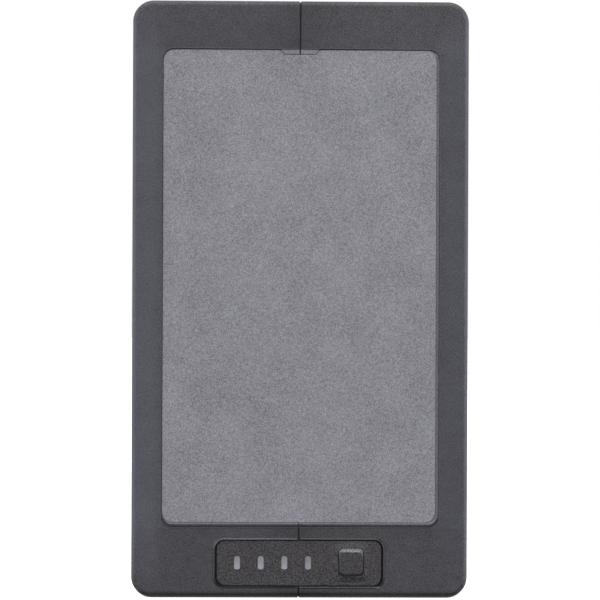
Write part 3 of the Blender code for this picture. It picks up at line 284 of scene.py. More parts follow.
# Painted light and shade on the shell by place, and the masks that place it: (from, to, value at from, value
# at to) in millimetres along X or Z
HALVES_X = (-1.0, 1.0, 0.0, 1.0)
COLUMN_X = (47.5, 52.5, 0.0, 1.0)
COLUMN_FOOT_Z = (6.0, 24.0, 0.15, 1.0)
COLUMN_HEAD_Z = (196.0, 210.0, 1.0, 0.15)
# Painted light on the columns, stronger on the left one than on the right one
LEFT_COLUMN_LIGHT_Z = (20.0, 195.0, 0.42, 0.3)
RIGHT_COLUMN_LIGHT_Z = (20.0, 195.0, 0.06, 0.19)
STRIP_Z = (24.4, 25.2, -0.1, 0.0)
FOOT_Z = (20.5, 21.5, 0.04, 0.0)
BAND_Z = (193.0, 197.0, 0.0, 1.0)
LEFT_BAND_Z = (196.0, 207.0, -0.1, 0.04)
RIGHT_BAND_Z = (196.0, 207.0, 0.12, 0.04)
RIGHT_BAND_X = (8.0, 25.0, 0.0, 1.0)
SEAM_SHADE_X = (0.8, 14.0, -0.26, 0.0)
RIGHT_SIDE_X = (58.3, 59.0, 0.0, 0.2)
SOLE_SHADE_Z = (1.7, 2.9, -0.52, 0.0)
SOLE_EDGE_Z = (0.6, 1.3, 0.5, 0.0)
FRONT_FACE_Y = (FRONT + 3.0, FRONT + 5.0, 1.0, 0.0)

# Painted shade and painted highlights on the rim round the panel: at its top, sides and foot, left and right
RIM_TOP_LEFT = 0.18
RIM_TOP_RIGHT_Z = (21.0, 21.1, -0.85, -0.2)
RIM_LEFT = -0.55
RIM_RIGHT = -0.7
RIM_UPPER_Z = (17.5, 19.0, 0.0, 1.0)
RIM_LOWER_Z = (4.6, 6.0, 1.0, 0.0)
RIM_FOOT_LEFT = -0.3
RIM_FOOT_RIGHT_Z = (3.6, 3.7, -0.8, 2.1)
RIM_WALL_LEFT_Z = (4.07, 4.15, 0.0, -0.4)
RIM_WALL_RIGHT_Z = (4.07, 4.15, 0.0, -2.9)
RIM_SIDE_FRAME = (0.65, 0.25)
RIM_FOOT_FRAME = (0.95, 0.15)

# Tones of the seat, the key and the windows, with painted light on the seat below the label and in its notch
# and a painted shadow along the label's edge
SEAT_TONE = 0.85
SEAT_FOOT_LIGHT_Z = (27.0, 28.5, 0.38, 0.0)
SEAT_LAND_LIGHT_Z = (193.0, 193.5, 0.0, 0.47)
LABEL_SHADOW_FRAME = (0.14, 0.08)
LABEL_SHADOW_TONE = -0.4
# Painted light on the panel just above the key, and how far beside the key it reaches
ABOVE_KEY_LIGHT = 0.42
ABOVE_KEY_LIGHT_REACH = 2.0
LAST_WINDOW_X = (-2.0, 1.0, 1.0, 0.88)
DARKEST = 0.05
NOISE_RANGE = (0.3, 0.7)

# Colours, linear
BAND_COLOUR = (0.0585, 0.0562, 0.068)
# The columns' bluer colour is part of their painted light
LIT_COLUMN_COLOUR = (0.0585, 0.0584, 0.0745)
LABEL_COOL = (0.2575, 0.2585, 0.2965)
LABEL_WARM = (0.262, 0.2558, 0.2896)
SEAT_COLOUR = (0.235, 0.235, 0.277)
PANEL_COLOUR = (0.046, 0.042, 0.048)
KEY_COLOUR = (0.027, 0.0239, 0.027)
KEY_HIGHLIGHT_COLOUR = (0.087, 0.089, 0.117)
FROSTED_COLOUR = (0.305, 0.311, 0.355)
RUBBER_COLOUR = (0.022, 0.022, 0.023)
BOARD_COLOUR = (0.02, 0.14, 0.06)
FLOOR_COLOUR = (0.95, 0.95, 0.95)
WHITE = (1.0, 1.0, 1.0, 1.0)
METALS = (
    ("steel", "zinc_steel", (0.42, 0.42, 0.44), 0.34, 0.4, (1.0, 1.0, 1.0)),
    ("nickel", "nickel_strip", (0.6, 0.58, 0.54), 0.28, 0.8, (0.1, 1.0, 1.0)),
    ("brass", "contact_brass", (0.72, 0.55, 0.28), 0.26, 0.5, (1.0, 1.0, 0.1)),
    ("aluminium", "aluminium_can", (0.68, 0.68, 0.7), 0.36, 0.6, (1.0, 1.0, 0.1)),
)
PLASTICS = (
    ("carrier", "carrier_plastic", (0.035, 0.035, 0.038), 0.5),
    ("cell_wrap", "cell_sleeve", (0.03, 0.13, 0.32), 0.3, 3.0, 0.02, 0.3),
    ("ferrite", "powder_core", (0.05, 0.05, 0.05), 0.65, 0.3, 0.04),
    ("led", "led_lens", (0.75, 0.75, 0.68), 0.25, 1.0, 0.005, 0.3),
    ("ribbon", "flat_cable", (0.7, 0.7, 0.67), 0.35, 1.2, 0.01),
    ("fuse", "fuse_body", (0.62, 0.24, 0.03), 0.22, 2.0, 0.005, 0.4),
    ("red_wire", "red_insulation", (0.45, 0.02, 0.02), 0.45, 0.8),
    ("black_wire", "black_insulation", (0.02, 0.02, 0.02), 0.45, 0.8),
    ("foam", "pad_foam", (0.09, 0.09, 0.09), 0.9, 0.7, 0.2),
)

# Light: strength of the studio's front half by the height of its direction, -1 down to 1 up
FRONT_GLOW = (
    (-1.0, 0.35), (-0.85, 0.3), (-0.6, 0.02), (-0.3, 0.15), (0.0, 1.1), (0.3, 0.85), (0.6, 0.35), (1.0, 0.3),
)
BEHIND_UNIT = (0.05, 0.5, 0.0, 1.0)
SOFTBOXES = (
    ("top_softbox", (0.0, -1.05, 2.65), (3.6, 2.1), 60.0),
    ("left_softbox", (-2.8, -0.75, 0.5), (1.5, 2.7), 40.0),
    ("right_softbox", (2.8, -0.75, 0.5), (1.5, 2.7), 45.0),
)

# Camera: it stands a little to the left of the unit's axis and is turned slightly
CAMERA_DISTANCE = 900.0
CAMERA_SIDE_ANGLE = 1.2
CAMERA_ROLL = 0.225
CAMERA_AIM_X = -0.07
CAMERA_BELOW_MIDDLE = 0.2
VIEW_WIDTH = 214.38
SENSOR_WIDTH = 36.0
CLIP_START = 0.05
CLIP_END = 50.0
FLOOR_HALF_SIZE = 6.0
FLOOR_GLOW = 0.7


# ---- outlines


def rounded_outline(width, height, radius, steps=10, centre=(0.0, 0.0)):
    """Points of a rounded rectangle, counter-clockwise from its lower right corner."""
    points = []
    for quarter in range(4):
        side = 1 if quarter in (0, 1) else -1
        rise = 1 if quarter in (1, 2) else -1
        corner = (centre[0] + side * (width / 2 - radius), centre[1] + rise * (height / 2 - radius))
        for step in range(steps + 1):
            angle = math.pi / 2 * (quarter - 1 + step / steps)
            points.append((corner[0] + radius * math.cos(angle), corner[1] + radius * math.sin(angle)))
    return points


def circle(radius, steps=48, centre=(0.0, 0.0)):
    turn = 2 * math.pi / steps
    return [
        (centre[0] + radius * math.cos(turn * i), centre[1] + radius * math.sin(turn * i))
        for i in range(steps)
    ]


def rectangle(low_u, high_u, low_v, high_v):
    return [(low_u, low_v), (high_u, low_v), (high_u, high_v), (low_u, high_v)]


def part_way(outline, other, share):
    """An outline moved part of the way to another one with as many points."""
    return [(u + share * (a - u), v + share * (b - v)) for (u, v), (a, b) in zip(outline, other)]


def rounded_corner(before, corner, after, radius, steps=5):
    """Points that round off one corner of an outline by a curve."""
    arms = []
    for other in (before, after):
        arm = Vector((other[0] - corner[0], other[1] - corner[1]))
        arms.append(Vector(corner) + arm.normalized() * min(radius, arm.length / 2.01))
    points = []
    for i in range(steps + 1):
        t = i / steps
        point = arms[0] * (1 - t) ** 2 + Vector(corner) * 2 * t * (1 - t) + arms[1] * t ** 2
        points.append((point.x, point.y))
    return points


def keyhole_outline(centre_x, outset=0.0):
    """A round entry with a narrower slot that rises from it and ends in a half circle."""
    entry = KEYHOLE_ENTRY_RADIUS + outset
    half = KEYHOLE_SLOT_WIDTH / 2 + outset
    mouth = math.asin(half / entry)
    entry_steps = 32
    slot_steps = 16
    points = []
    for i in range(entry_steps + 1):
        angle = math.pi / 2 + mouth + (2 * math.pi - 2 * mouth) * i / entry_steps
        points.append((entry * math.cos(angle), entry * math.sin(angle)))
    for i in range(slot_steps + 1):
        angle = math.pi * i / slot_steps
        points.append((half * math.cos(angle), KEYHOLE_TRAVEL + half * math.sin(angle)))
    return [(centre_x + u, KEYHOLE_ENTRY_Z + v) for u, v in points]


# ---- meshes


def place(axis, u, v, w):
    """A point from its outline coordinates u, v and its distance w along the axis."""
    point = {"X": (w, u, v), "Y": (u, w, v), "Z": (u, v, w)}[axis]
    return [value * MM for value in point]


def loft(sections, axis, mesh=None, ring=False):
    """Adds a closed body through sections, each (outline, w), all with the same number of points.

    Faces close its two ends. In a ring the last section meets the first one, round a hole.
    """
    mesh = mesh or bmesh.new()
    rings = [[mesh.verts.new(place(axis, u, v, w)) for u, v in outline] for outline, w in sections]
    count = len(rings[0])
    for lower, upper in zip(rings, rings[1:] + rings[:1] if ring else rings[1:]):
        for i in range(count):
            j = (i + 1) % count
            mesh.faces.new((lower[i], lower[j], upper[j], upper[i]))
    if not ring:
        mesh.faces.new(rings[0])
        mesh.faces.new(rings[-1])
    bmesh.ops.recalc_face_normals(mesh, faces=mesh.faces)
    return mesh


def prism(outline, axis, start, end, mesh=None):
    return loft([(outline, start), (outline, end)], axis, mesh)


def turned(profile, axis, steps=48, centre=(0.0, 0.0), mesh=None):
    """A round body through (radius, w) pairs."""
    return loft([(circle(radius, steps, centre), w) for radius, w in profile], axis, mesh)


def block(low, high, mesh=None):
    return prism(rectangle(low[0], high[0], low[1], high[1]), "Z", low[2], high[2], mesh)


def quarter_profile(radius, steps):
    """(depth, inset) pairs of an outer edge's rounding, from the face down to the side."""
    pairs = []
    for i in range(steps + 1):
        angle = math.pi / 2 * (1 - i / steps)
        pairs.append((radius * (1 - math.sin(angle)), radius * (1 - math.cos(angle))))
    return pairs


def soft_block(outline_at, start, end, edge, axis, steps=4, far_edge=None):
    """A body along the axis whose two ends are rounded off. outline_at(outset) gives its outline."""
    far_edge = edge if far_edge is None else far_edge
    way = 1 if end > start else -1
    sections = [(outline_at(-inset), start + way * depth) for depth, inset in quarter_profile(edge, steps)]
    far = [(outline_at(-inset), end - way * depth) for depth, inset in quarter_profile(far_edge, steps)]
    return loft(sections + far[::-1], axis)


def flared_cutter(outline_at, mouth, floor, lip, axis, mesh=None):
    """A cutter whose mouth widens in a quarter round, so that the recess gets a soft lip.

    outline_at(outset) gives the recess's outline, grown by outset.
    """
    way = 1 if floor > mouth else -1
    steps = 5
    angles = [math.pi / 2 * i / steps for i in range(steps - 1, -1, -1)]
    pairs = [(lip * (1 - math.sin(angle)), lip * (1 - math.cos(angle))) for angle in angles]
    slope = (lip - pairs[0][1]) / pairs[0][0]
    above = 0.25
    outer = lip + slope * above
    sections = [(outline_at(outer), mouth - way * BEYOND), (outline_at(outer), mouth - way * above)]
    sections += [(outline_at(outset), mouth + way * depth) for depth, outset in pairs]
    sections.append((outline_at(0.0), floor))
    return loft(sections, axis, mesh)


def case_block(half_width, front, rear, bottom, top, corner, edge, corner_steps=16, edge_steps=8):
    """The case's form: round corners seen from the front, round edges at its front and rear."""
    sides = Sides((-half_width, half_width), (bottom, top), corner, corner_steps)
    return soft_block(sides.outline, front, rear, edge, "Y", edge_steps)


def cavity_block():
    ends = (WALL, CASE_HEIGHT - WALL)
    return case_block(CAVITY_SIDE, CAVITY_FRONT, CAVITY_REAR, *ends, CAVITY_RADIUS, CAVITY_EDGE_RADIUS, 8, 4)


def add_object(name, mesh):
    data = bpy.data.meshes.new(name)
    mesh.to_mesh(data)
    mesh.free()
    made = bpy.data.objects.new(name, data)
    bpy.context.scene.collection.objects.link(made)
    return made


def combine(target, operation, mesh):
    """Puts a Boolean with a throw-away object on the target. settle() applies and removes both."""
    helper = add_object("helper", mesh)
    helper.hide_render = True
    modifier = target.modifiers.new(operation, "BOOLEAN")
    modifier.operation = operation
    modifier.object = helper
    modifier.solver = "EXACT"


def cut(target, *meshes):
    for mesh in meshes:
        combine(target, "DIFFERENCE", mesh)


def join(target, *meshes):
    for mesh in meshes:
        combine(target, "UNION", mesh)


def settle(target, soft_angle=SOFT_ANGLE, bevel=0.0, bevel_segments=2):
    """Applies the Booleans, shades the piece smooth up to soft_angle and keeps its flat faces flat."""
    helpers = [modifier.object for modifier in target.modifiers if modifier.type == "BOOLEAN"]
    if bevel:
        modifier = target.modifiers.new("soft edges", "BEVEL")
        modifier.width = bevel * MM
        modifier.segments = bevel_segments
        modifier.limit_method = "ANGLE"
        modifier.angle_limit = math.radians(BEVEL_ANGLE)
        modifier.use_clamp_overlap = True
    evaluated = target.evaluated_get(bpy.context.evaluated_depsgraph_get())
    data = bpy.data.meshes.new_from_object(evaluated)
    target.modifiers.clear()
    target.data = data
    data.name = target.name
    for helper in helpers:
        bpy.data.objects.remove(helper)
    data.shade_smooth()
    data.set_sharp_from_angle(angle=math.radians(soft_angle))
    weighted = target.modifiers.new("even shading", "WEIGHTED_NORMAL")
    weighted.keep_sharp = True


def finish_piece(piece, material, body, slot, node):
    """Gives a piece its material and its body, and hides the CAD node that it stands for."""
    piece.data.materials.clear()
    piece.data.materials.append(material)
    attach(piece, body)
    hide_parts(node)


def make_piece(name, mesh, material, slot, node, body="casing", joins=(), cuts=(), **settling):
    """Makes the piece for a CAD node from a mesh, meshes joined to it and meshes cut from it."""
    piece = add_object(name, mesh)
    join(piece, *joins)
    cut(piece, *cuts)
    settle(piece, **settling)
    finish_piece(piece, material, body, slot, node)
    return piece


# ---- materials


class Tree:
    """Short calls for building a node tree, with the coordinates of one space."""

    def __init__(self, owner, space):
        owner.use_nodes = True
        self.tree = owner.node_tree
        self.coordinates = self.add("ShaderNodeTexCoord").outputs[space]

    def add(self, kind, inputs=None, **settings):
        node = self.tree.nodes.new(kind)
        for key, value in settings.items():
            setattr(node, key, value)
        for key, value in (inputs or {}).items():
            self.feed(node.inputs[key], value)
        return node

    def feed(self, socket, value):
        if isinstance(value, bpy.types.NodeSocket):
            self.tree.links.new(value, socket)
        else:
            socket.default_value = value

    def remap(self, value, low, high, to_low, to_high):
        inputs = {0: value, 1: low, 2: high, 3: to_low, 4: to_high}
        return self.add("ShaderNodeMapRange", inputs).outputs[0]

    def math(self, operation, first, second=0.0):
        return self.add("ShaderNodeMath", {0: first, 1: second}, operation=operation).outputs[0]

    def times(self, first, second):
        return self.math("MULTIPLY", first, second)

    def sum(self, *values):
        total = values[0]
        for value in values[1:]:
            total = self.math("ADD", total, value)
        return total

    def blend(self, factor, first, second):
        """From the first value to the second as the factor goes from 0 to 1."""
        return self.add("ShaderNodeMix", {0: factor, 2: first, 3: second}).outputs[0]

    def mix(self, factor, first, second):
        """From the first colour to the second as the factor goes from 0 to 1."""
        inputs = {0: factor, 6: first, 7: second}
        return self.add("ShaderNodeMix", inputs, data_type="RGBA").outputs[2]


class Nodes(Tree):
    """A material's node tree."""

    def __init__(self, name):
        self.material = bpy.data.materials.new(name)
        super().__init__(self.material, "Object")
        self.shader = self.tree.nodes["Principled BSDF"]

    def noise(self, grain, detail=2.0, roughness=0.5, stretch=(1.0, 1.0, 1.0)):
        """Noise with features of about grain millimetres."""
        mapping = self.add("ShaderNodeMapping", {"Vector": self.coordinates, "Scale": stretch})
        inputs = {
            "Vector": mapping.outputs["Vector"],
            "Scale": 1 / (grain * MM),
            "Detail": detail,
            "Roughness": roughness,
        }
        return self.add("ShaderNodeTexNoise", inputs).outputs["Fac"]

    def spread(self, noise, low, high):
        """The noise's usual range turned into low to high."""
        return self.remap(noise, *NOISE_RANGE, low, high)

    def scaled(self, colour, factor):
        """The colour times a factor that varies over the surface."""
        node = self.add("ShaderNodeVectorMath", {0: colour, "Scale": factor}, operation="SCALE")
        return node.outputs["Vector"]

    def position(self, axis):
        """The object coordinate along an axis, in millimetres."""
        split = self.add("ShaderNodeSeparateXYZ", {0: self.coordinates})
        return self.times(split.outputs[axis], 1 / MM)

    def frame_round(self, sides, width, fade):
        """1 inside the sides and in a frame of a width round them, and 0 beyond it."""
        outside = []
        for axis, (low, high) in (("X", sides.x), ("Z", sides.z)):
            away = self.math("ABSOLUTE", self.sum(self.position(axis), -(low + high) / 2))
            half = (high - low) / 2 - sides.radius
            outside.append(self.math("MAXIMUM", self.sum(away, -half), 0.0))
        squares = [self.times(value, value) for value in outside]
        distance = self.sum(self.math("SQRT", self.sum(*squares)), -sides.radius)
        return self.remap(distance, width, width + fade, 1.0, 0.0)

    def bump(self, height, depth, strength=1.0):
        """A bump of depth millimetres."""
        inputs = {"Height": height, "Distance": depth * MM, "Strength": strength}
        self.feed(self.shader.inputs["Normal"], self.add("ShaderNodeBump", inputs).outputs[0])

    def set(self, **values):
        """Feeds the shader's inputs: coat_weight, say, is its Coat Weight."""
        for key, value in values.items():
            name = "Base Color" if key == "colour" else key.replace("_", " ").title()
            self.feed(self.shader.inputs[name], value)
        return self.material


def shell_light_and_shade(n, column, right):
    """Painted light and shade on the shell by place: bands, columns, seam, lower edge and the panel's rim."""
    x, z = n.position("X"), n.position("Z")
    # Painted light on the columns
    column_light = n.blend(right, n.remap(z, *LEFT_COLUMN_LIGHT_Z), n.remap(z, *RIGHT_COLUMN_LIGHT_Z))
    # Painted light and shade on the band above the label
    right_band = n.times(n.remap(x, *RIGHT_BAND_X), n.remap(z, *RIGHT_BAND_Z))
    band = n.blend(right, n.remap(z, *LEFT_BAND_Z), right_band)
    band_light_and_shade = n.times(n.remap(z, *BAND_Z), band)
    # Painted shade along the seam, and painted shade on the lower fillet with painted light at its very edge
    painted_seam_shade = n.remap(n.math("ABSOLUTE", n.sum(x, -SEAM_X)), *SEAM_SHADE_X)
    sole_shade_and_light = n.sum(n.remap(z, *SOLE_SHADE_Z), n.remap(z, *SOLE_EDGE_Z))
    # Painted shade round the panel's recess, with a painted highlight along its top on the left and along its
    # foot on the right
    rim_top = n.blend(right, RIM_TOP_LEFT, n.remap(z, *RIM_TOP_RIGHT_Z))
    rim_wall = n.blend(right, n.remap(z, *RIM_WALL_LEFT_Z), n.remap(z, *RIM_WALL_RIGHT_Z))
    rim_foot = n.sum(n.blend(right, RIM_FOOT_LEFT, n.remap(z, *RIM_FOOT_RIGHT_Z)), rim_wall)
    rim_side = n.blend(n.remap(z, *RIM_UPPER_Z), n.blend(right, RIM_LEFT, RIM_RIGHT), rim_top)
    side_frame = n.times(n.frame_round(PANEL_RECESS, *RIM_SIDE_FRAME), rim_side)
    foot_frame = n.times(n.frame_round(PANEL_RECESS, *RIM_FOOT_FRAME), rim_foot)
    rim_light_and_shade = n.blend(n.remap(z, *RIM_LOWER_Z), side_frame, foot_frame)
    # Painted shade on the front below the label, kept to the front face
    front_light_and_shade = n.sum(n.remap(z, *STRIP_Z), n.remap(z, *FOOT_Z), rim_light_and_shade)
    front_light_and_shade = n.times(n.remap(n.position("Y"), *FRONT_FACE_Y), front_light_and_shade)
    # A painted highlight on the right side's edge
    tones = (front_light_and_shade, band_light_and_shade, painted_seam_shade, n.remap(x, *RIGHT_SIDE_X), sole_shade_and_light)
    return n.sum(1.0, n.times(column, column_light), *tones)


def shell_material():
    """Moulded charcoal plastic with a fine spark-eroded grain.

    The columns beside the label carry painted light: painted a little paler and bluer than the bands above
    and below it, with a smoother grain, fading towards the case's corners. The right half shell is a little
    rougher than the left.
    """
    n = Nodes("shell_plastic")
    x, z = n.position("X"), n.position("Z")
    right = n.remap(x, *HALVES_X)
    # Where the columns' painted light falls, fading towards the case's corners
    ends = n.times(n.remap(z, *COLUMN_FOOT_Z), n.remap(z, *COLUMN_HEAD_Z))
    column = n.times(n.remap(n.math("ABSOLUTE", x), *COLUMN_X), ends)
    fine = n.noise(0.45, 2.0, 0.6)
    column_grain = n.blend(right, 0.56, 0.68)
    roughening = n.times(n.blend(right, 0.92, 1.02), n.blend(column, 1.0, column_grain))
    grain = n.times(n.spread(fine, -0.78, 0.78), roughening)
    mottle = n.times(n.spread(n.noise(3.0), -0.11, 0.11), roughening)
    broad = n.spread(n.noise(14.0), -0.06, 0.06)
    tint = n.times(n.sum(1.0, grain, mottle, broad), shell_light_and_shade(n, column, right))
    n.bump(fine, 0.03, 0.6)
    colour = n.mix(column, n.scaled(BAND_COLOUR, tint), n.scaled(LIT_COLUMN_COLOUR, tint))
    return n.set(colour=colour, roughness=n.spread(fine, 0.44, 0.58))


def label_material():
    """Matt light grey film with a fine dark and light speckle over slow cloudiness."""
    n = Nodes("label_film")
    speckle = n.noise(0.36, 2.0, 0.7)
    mottle = n.spread(n.noise(2.6, 2.0, 0.6), -0.03, 0.03)
    cloud = n.spread(n.noise(16.0, 3.0, 0.6), -0.09, 0.09)
    tint = n.sum(1.0, n.spread(speckle, -0.53, 0.53), mottle, cloud)
    warm = n.remap(n.noise(2.4, 2.0, 0.6), 0.42, 0.58, 0.0, 1.0)
    colour = n.mix(warm, n.scaled(LABEL_COOL, tint), n.scaled(LABEL_WARM, tint))
    n.bump(speckle, 0.02, 0.4)
    return n.set(colour=colour, roughness=n.spread(speckle, 0.5, 0.66))


def seat_material():
    """The pale, smooth seat of the label, painted paler below the label and in its notch as painted light,
    and darker along the label's edge as a painted shadow.
    """
    n = Nodes("label_seat")
    z = n.position("Z")
    fine = n.noise(0.5)
    # A painted shadow along the label's edge, and painted light on the seat below the label and in its notch
    line = n.times(n.frame_round(LABEL_SHEET, *LABEL_SHADOW_FRAME), LABEL_SHADOW_TONE)
    tone = n.sum(SEAT_TONE, n.remap(z, *SEAT_FOOT_LIGHT_Z), n.remap(z, *SEAT_LAND_LIGHT_Z), line)
    tint = n.times(n.spread(fine, 0.7, 1.3), tone)
    return n.set(colour=n.scaled(SEAT_COLOUR, tint), roughness=n.spread(fine, 0.5, 0.6))


def panel_material():
    """Coarser textured near-black plastic, a little warm, with painted light just above the key."""
    n = Nodes("panel_plastic")
    grain = n.noise(0.55, 2.0, 0.7)
    mottle = n.spread(n.noise(2.5, 1.0), -0.15, 0.15)
    key_x, key_z, key_width, key_height = button_face()
    key_top = key_z + key_height / 2
    # Painted light just above the key, fading beside it
    beside = n.math("ABSOLUTE", n.sum(n.position("X"), -key_x))
    above = n.remap(n.position("Z"), key_top - 0.5, key_top + 0.1, 0.0, 1.0)
    painted_light = n.remap(beside, key_width / 2, key_width / 2 + ABOVE_KEY_LIGHT_REACH, ABOVE_KEY_LIGHT, 0.0)
    light_above_key = n.times(painted_light, above)
    tint = n.math("MAXIMUM", n.sum(n.remap(grain, 0.36, 0.64, -0.1, 2.1), mottle, light_above_key), DARKEST)
    n.bump(grain, 0.06, 0.7)
    return n.set(colour=n.scaled(PANEL_COLOUR, tint), roughness=n.spread(grain, 0.44, 0.6))


def key_material():
    """The panel's plastic with the smoother skin of a key, and a painted highlight along its upper slope."""
    n = Nodes("key_plastic")
    key_z, key_height = button_face()[1], button_face()[3]
    slope_foot = key_z + key_height / 2 - BUTTON_RAMP
    # The painted highlight covers the key's upper slope
    painted_light = n.remap(n.position("Z"), slope_foot - 0.1, slope_foot + 0.3, 0.0, 1.0)
    grain = n.noise(0.55, 2.0, 0.7)
    tint = n.math("MAXIMUM", n.remap(grain, 0.38, 0.62, -0.3, 2.3), DARKEST)
    n.bump(grain, 0.04, 0.6)
    colour = n.mix(painted_light, n.scaled(KEY_COLOUR, tint), n.scaled(KEY_HIGHLIGHT_COLOUR, tint))
    return n.set(colour=colour, roughness=n.spread(grain, 0.28, 0.4), coat_weight=0.4, coat_roughness=0.25)


def frosted_material():
    """Milky plastic. The window beside the key is a little darker than the others."""
    n = Nodes("frosted_window")
    cloud = n.noise(0.8)
    tint = n.times(n.spread(cloud, 0.92, 1.08), n.remap(n.position("X"), *LAST_WINDOW_X))
    n.bump(cloud, 0.02, 0.3)
    return n.set(colour=n.scaled(FROSTED_COLOUR, tint), roughness=0.38, coat_weight=0.15)


def rubber_material():
    n = Nodes("strip_rubber")
    fine = n.noise(0.35)
    n.bump(fine, 0.03, 0.5)
    tint = n.spread(fine, 0.85, 1.15)
    return n.set(colour=n.scaled(RUBBER_COLOUR, tint), roughness=n.spread(fine, 0.7, 0.85))


def metal_material(name, colour, roughness, grain, stretch):
    """Plated or drawn metal, with fine lines along its stretch."""
    n = Nodes(name)
    lines = n.noise(grain, 3.0, 0.6, stretch)
    n.bump(lines, 0.01, 0.3)
    spread = n.spread(lines, roughness - 0.06, roughness + 0.08)
    return n.set(colour=n.scaled(colour, n.spread(lines, 0.92, 1.06)), roughness=spread, metallic=1.0)


def plastic_material(name, colour, roughness, grain=0.5, depth=0.02, coat=0.0):
    """Plain moulded plastic with a faint grain."""
    n = Nodes(name)
    fine = n.noise(grain)
    n.bump(fine, depth, 0.4)
    spread = n.spread(fine, roughness - 0.05, roughness + 0.05)
    return n.set(colour=n.scaled(colour, n.spread(fine, 0.9, 1.1)), roughness=spread, coat_weight=coat)


def board_material():
    """Green solder mask over a faint glass weave."""
    n = Nodes("circuit_board")
    weave = n.noise(0.5, 1.0, 0.5, (1.0, 1.0, 0.25))
    n.bump(weave, 0.01, 0.3)
    tint = n.spread(weave, 0.85, 1.15)
    return n.set(colour=n.scaled(BOARD_COLOUR, tint), roughness=0.35, coat_weight=0.3)


def make_materials():
    return {
        "shell": shell_material(),
        "seat": seat_material(),
        "label": label_material(),
        "panel": panel_material(),
        "key": key_material(),
        "frosted": frosted_material(),
        "rubber": rubber_material(),
        "board": board_material(),
        **{slot: metal_material(*values) for slot, *values in METALS},
        **{slot: plastic_material(*values) for slot, *values in PLASTICS},
    }


# ---- case


def seam_limit(side):
    """The room of one half shell. The halves meet behind a fine groove with softened edges.

    Its profile has (distance from the parting line, inset at front and rear, inset at the ends).
    """
    soft = SEAM_SOFTENING[side]
    profile = [
        (SEAM_MEETING_HALF_GAP, SEAM_GROOVE_DEPTH, SEAM_END_DEPTH),
        (SEAM_HALF_GAP, SEAM_GROOVE_DEPTH, SEAM_END_DEPTH),
        (SEAM_HALF_GAP + SEAM_DRAFT, soft, SEAM_END_DEPTH / 2),
        (SEAM_HALF_GAP + SEAM_BEND * soft, SEAM_BEND * soft, SEAM_BEND * SEAM_END_DEPTH),
        *[(SEAM_HALF_GAP + soft + away, -rise, -rise) for away, rise in SEAM_RUN_OUT],
        (SIDE + SEAM_BEYOND_SIDE, -SEAM_BEYOND_FACES, -SEAM_BEYOND_FACES),
    ]
    sections = []
    for away, inset, end_inset in profile:
        ends = (end_inset, CASE_HEIGHT - end_inset)
        sides = Sides((FRONT + inset, REAR - inset), ends, EDGE_RADIUS - inset, 11)
        sections.append((sides.outline(), SEAM_X + side * away))
    return loft(sections, "X")


def recess_cutter(recess):
    return flared_cutter(recess.outline, FRONT - recess.bead, FRONT + recess.depth, recess.lip, "Y")


def bead(recess):
    """The low bead that frames a recess."""
    base = FRONT + ROOT
    profile = [(recess.lip + recess.bead_width * across, up) for across, up in BEAD_PROFILE]
    outlines = [(recess.outline(outset), FRONT - up * recess.bead) for outset, up in profile]
    return loft([(outlines[0][0], base), *outlines, (outlines[-1][0], base)], "Y", ring=True)


def seat_groove():
    """The groove between the label's seat and the recess's wall. The seat's edge slopes into it."""
    seat, wall = SEAT.outline(), LABEL_RECESS.outline()
    sections = [(part_way(seat, wall, share), FRONT + depth) for share, depth in SEAT_GROOVE]
    return loft(sections, "Y", ring=True)


def panel_moat():
    """A narrow groove under the panel's edge, so that the gap round the panel is deep."""
    inner, outer = PANEL_RECESS.outline(-MOAT_REACH), PANEL_RECESS.outline(-MOAT_WALL_INSET)
    top, floor = FRONT + PANEL_RECESS.depth - ROOT, FRONT + MOAT_DEPTH
    return loft([(inner, top), (inner, floor), (outer, floor), (outer, top)], "Y", ring=True)


def notch_edge(side, gap=0.0):
    """One end of the label's notch, moved gap millimetres into the notch.

    Returns the foot of its slope and a function that gives the slope's x at a height.
    """
    top = LABEL.high[2]
    mouth = NOTCH_X + side * (NOTCH_WIDTH / 2 - gap * math.hypot(NOTCH_RUN, NOTCH_DEPTH) / NOTCH_DEPTH)

    def slope_x(z):
        return mouth - side * NOTCH_RUN * (top - z) / NOTCH_DEPTH

    bottom = top - NOTCH_DEPTH + gap
    return (slope_x(bottom), bottom), slope_x


def notch_land(side):
    """The seat's raised part that fills one side's half of the label's thumb notch."""
    def outline_at(inset):
        foot, slope_x = notch_edge(side, NOTCH_GAP + inset)
        seam = SEAM_X + side * (SEAM_HALF_GAP + SEAM_DRAFT / 2 + inset)
        crest = LABEL.high[2] + NOTCH_LAND_RISE - inset
        end = (slope_x(crest), crest)
        corner = rounded_corner((seam, foot[1]), foot, end, NOTCH_ROUNDING, 6)
        return [(seam, foot[1]), *corner, end, (seam, crest)]

    face = LABEL.low[1]
    sections = [
        (outline_at(0.0), FRONT + LABEL_RECESS.depth + NOTCH_LAND_ROOT),
        (outline_at(0.0), face + NOTCH_LAND_EDGE),
        (outline_at(NOTCH_LAND_EDGE), face),
    ]
    return loft(sections, "Y")


def screw_places(side):
    """Centres (y, z) of one side wall's screws, from the CAD's own screws."""
    name = "left" if side < 0 else "right"
    boxes = [Box(node) for node in sorted(frame["nodes"]) if node.startswith(f"shell_screw_{name}")]
    return [(box.centre[1], box.centre[2]) for box in boxes]


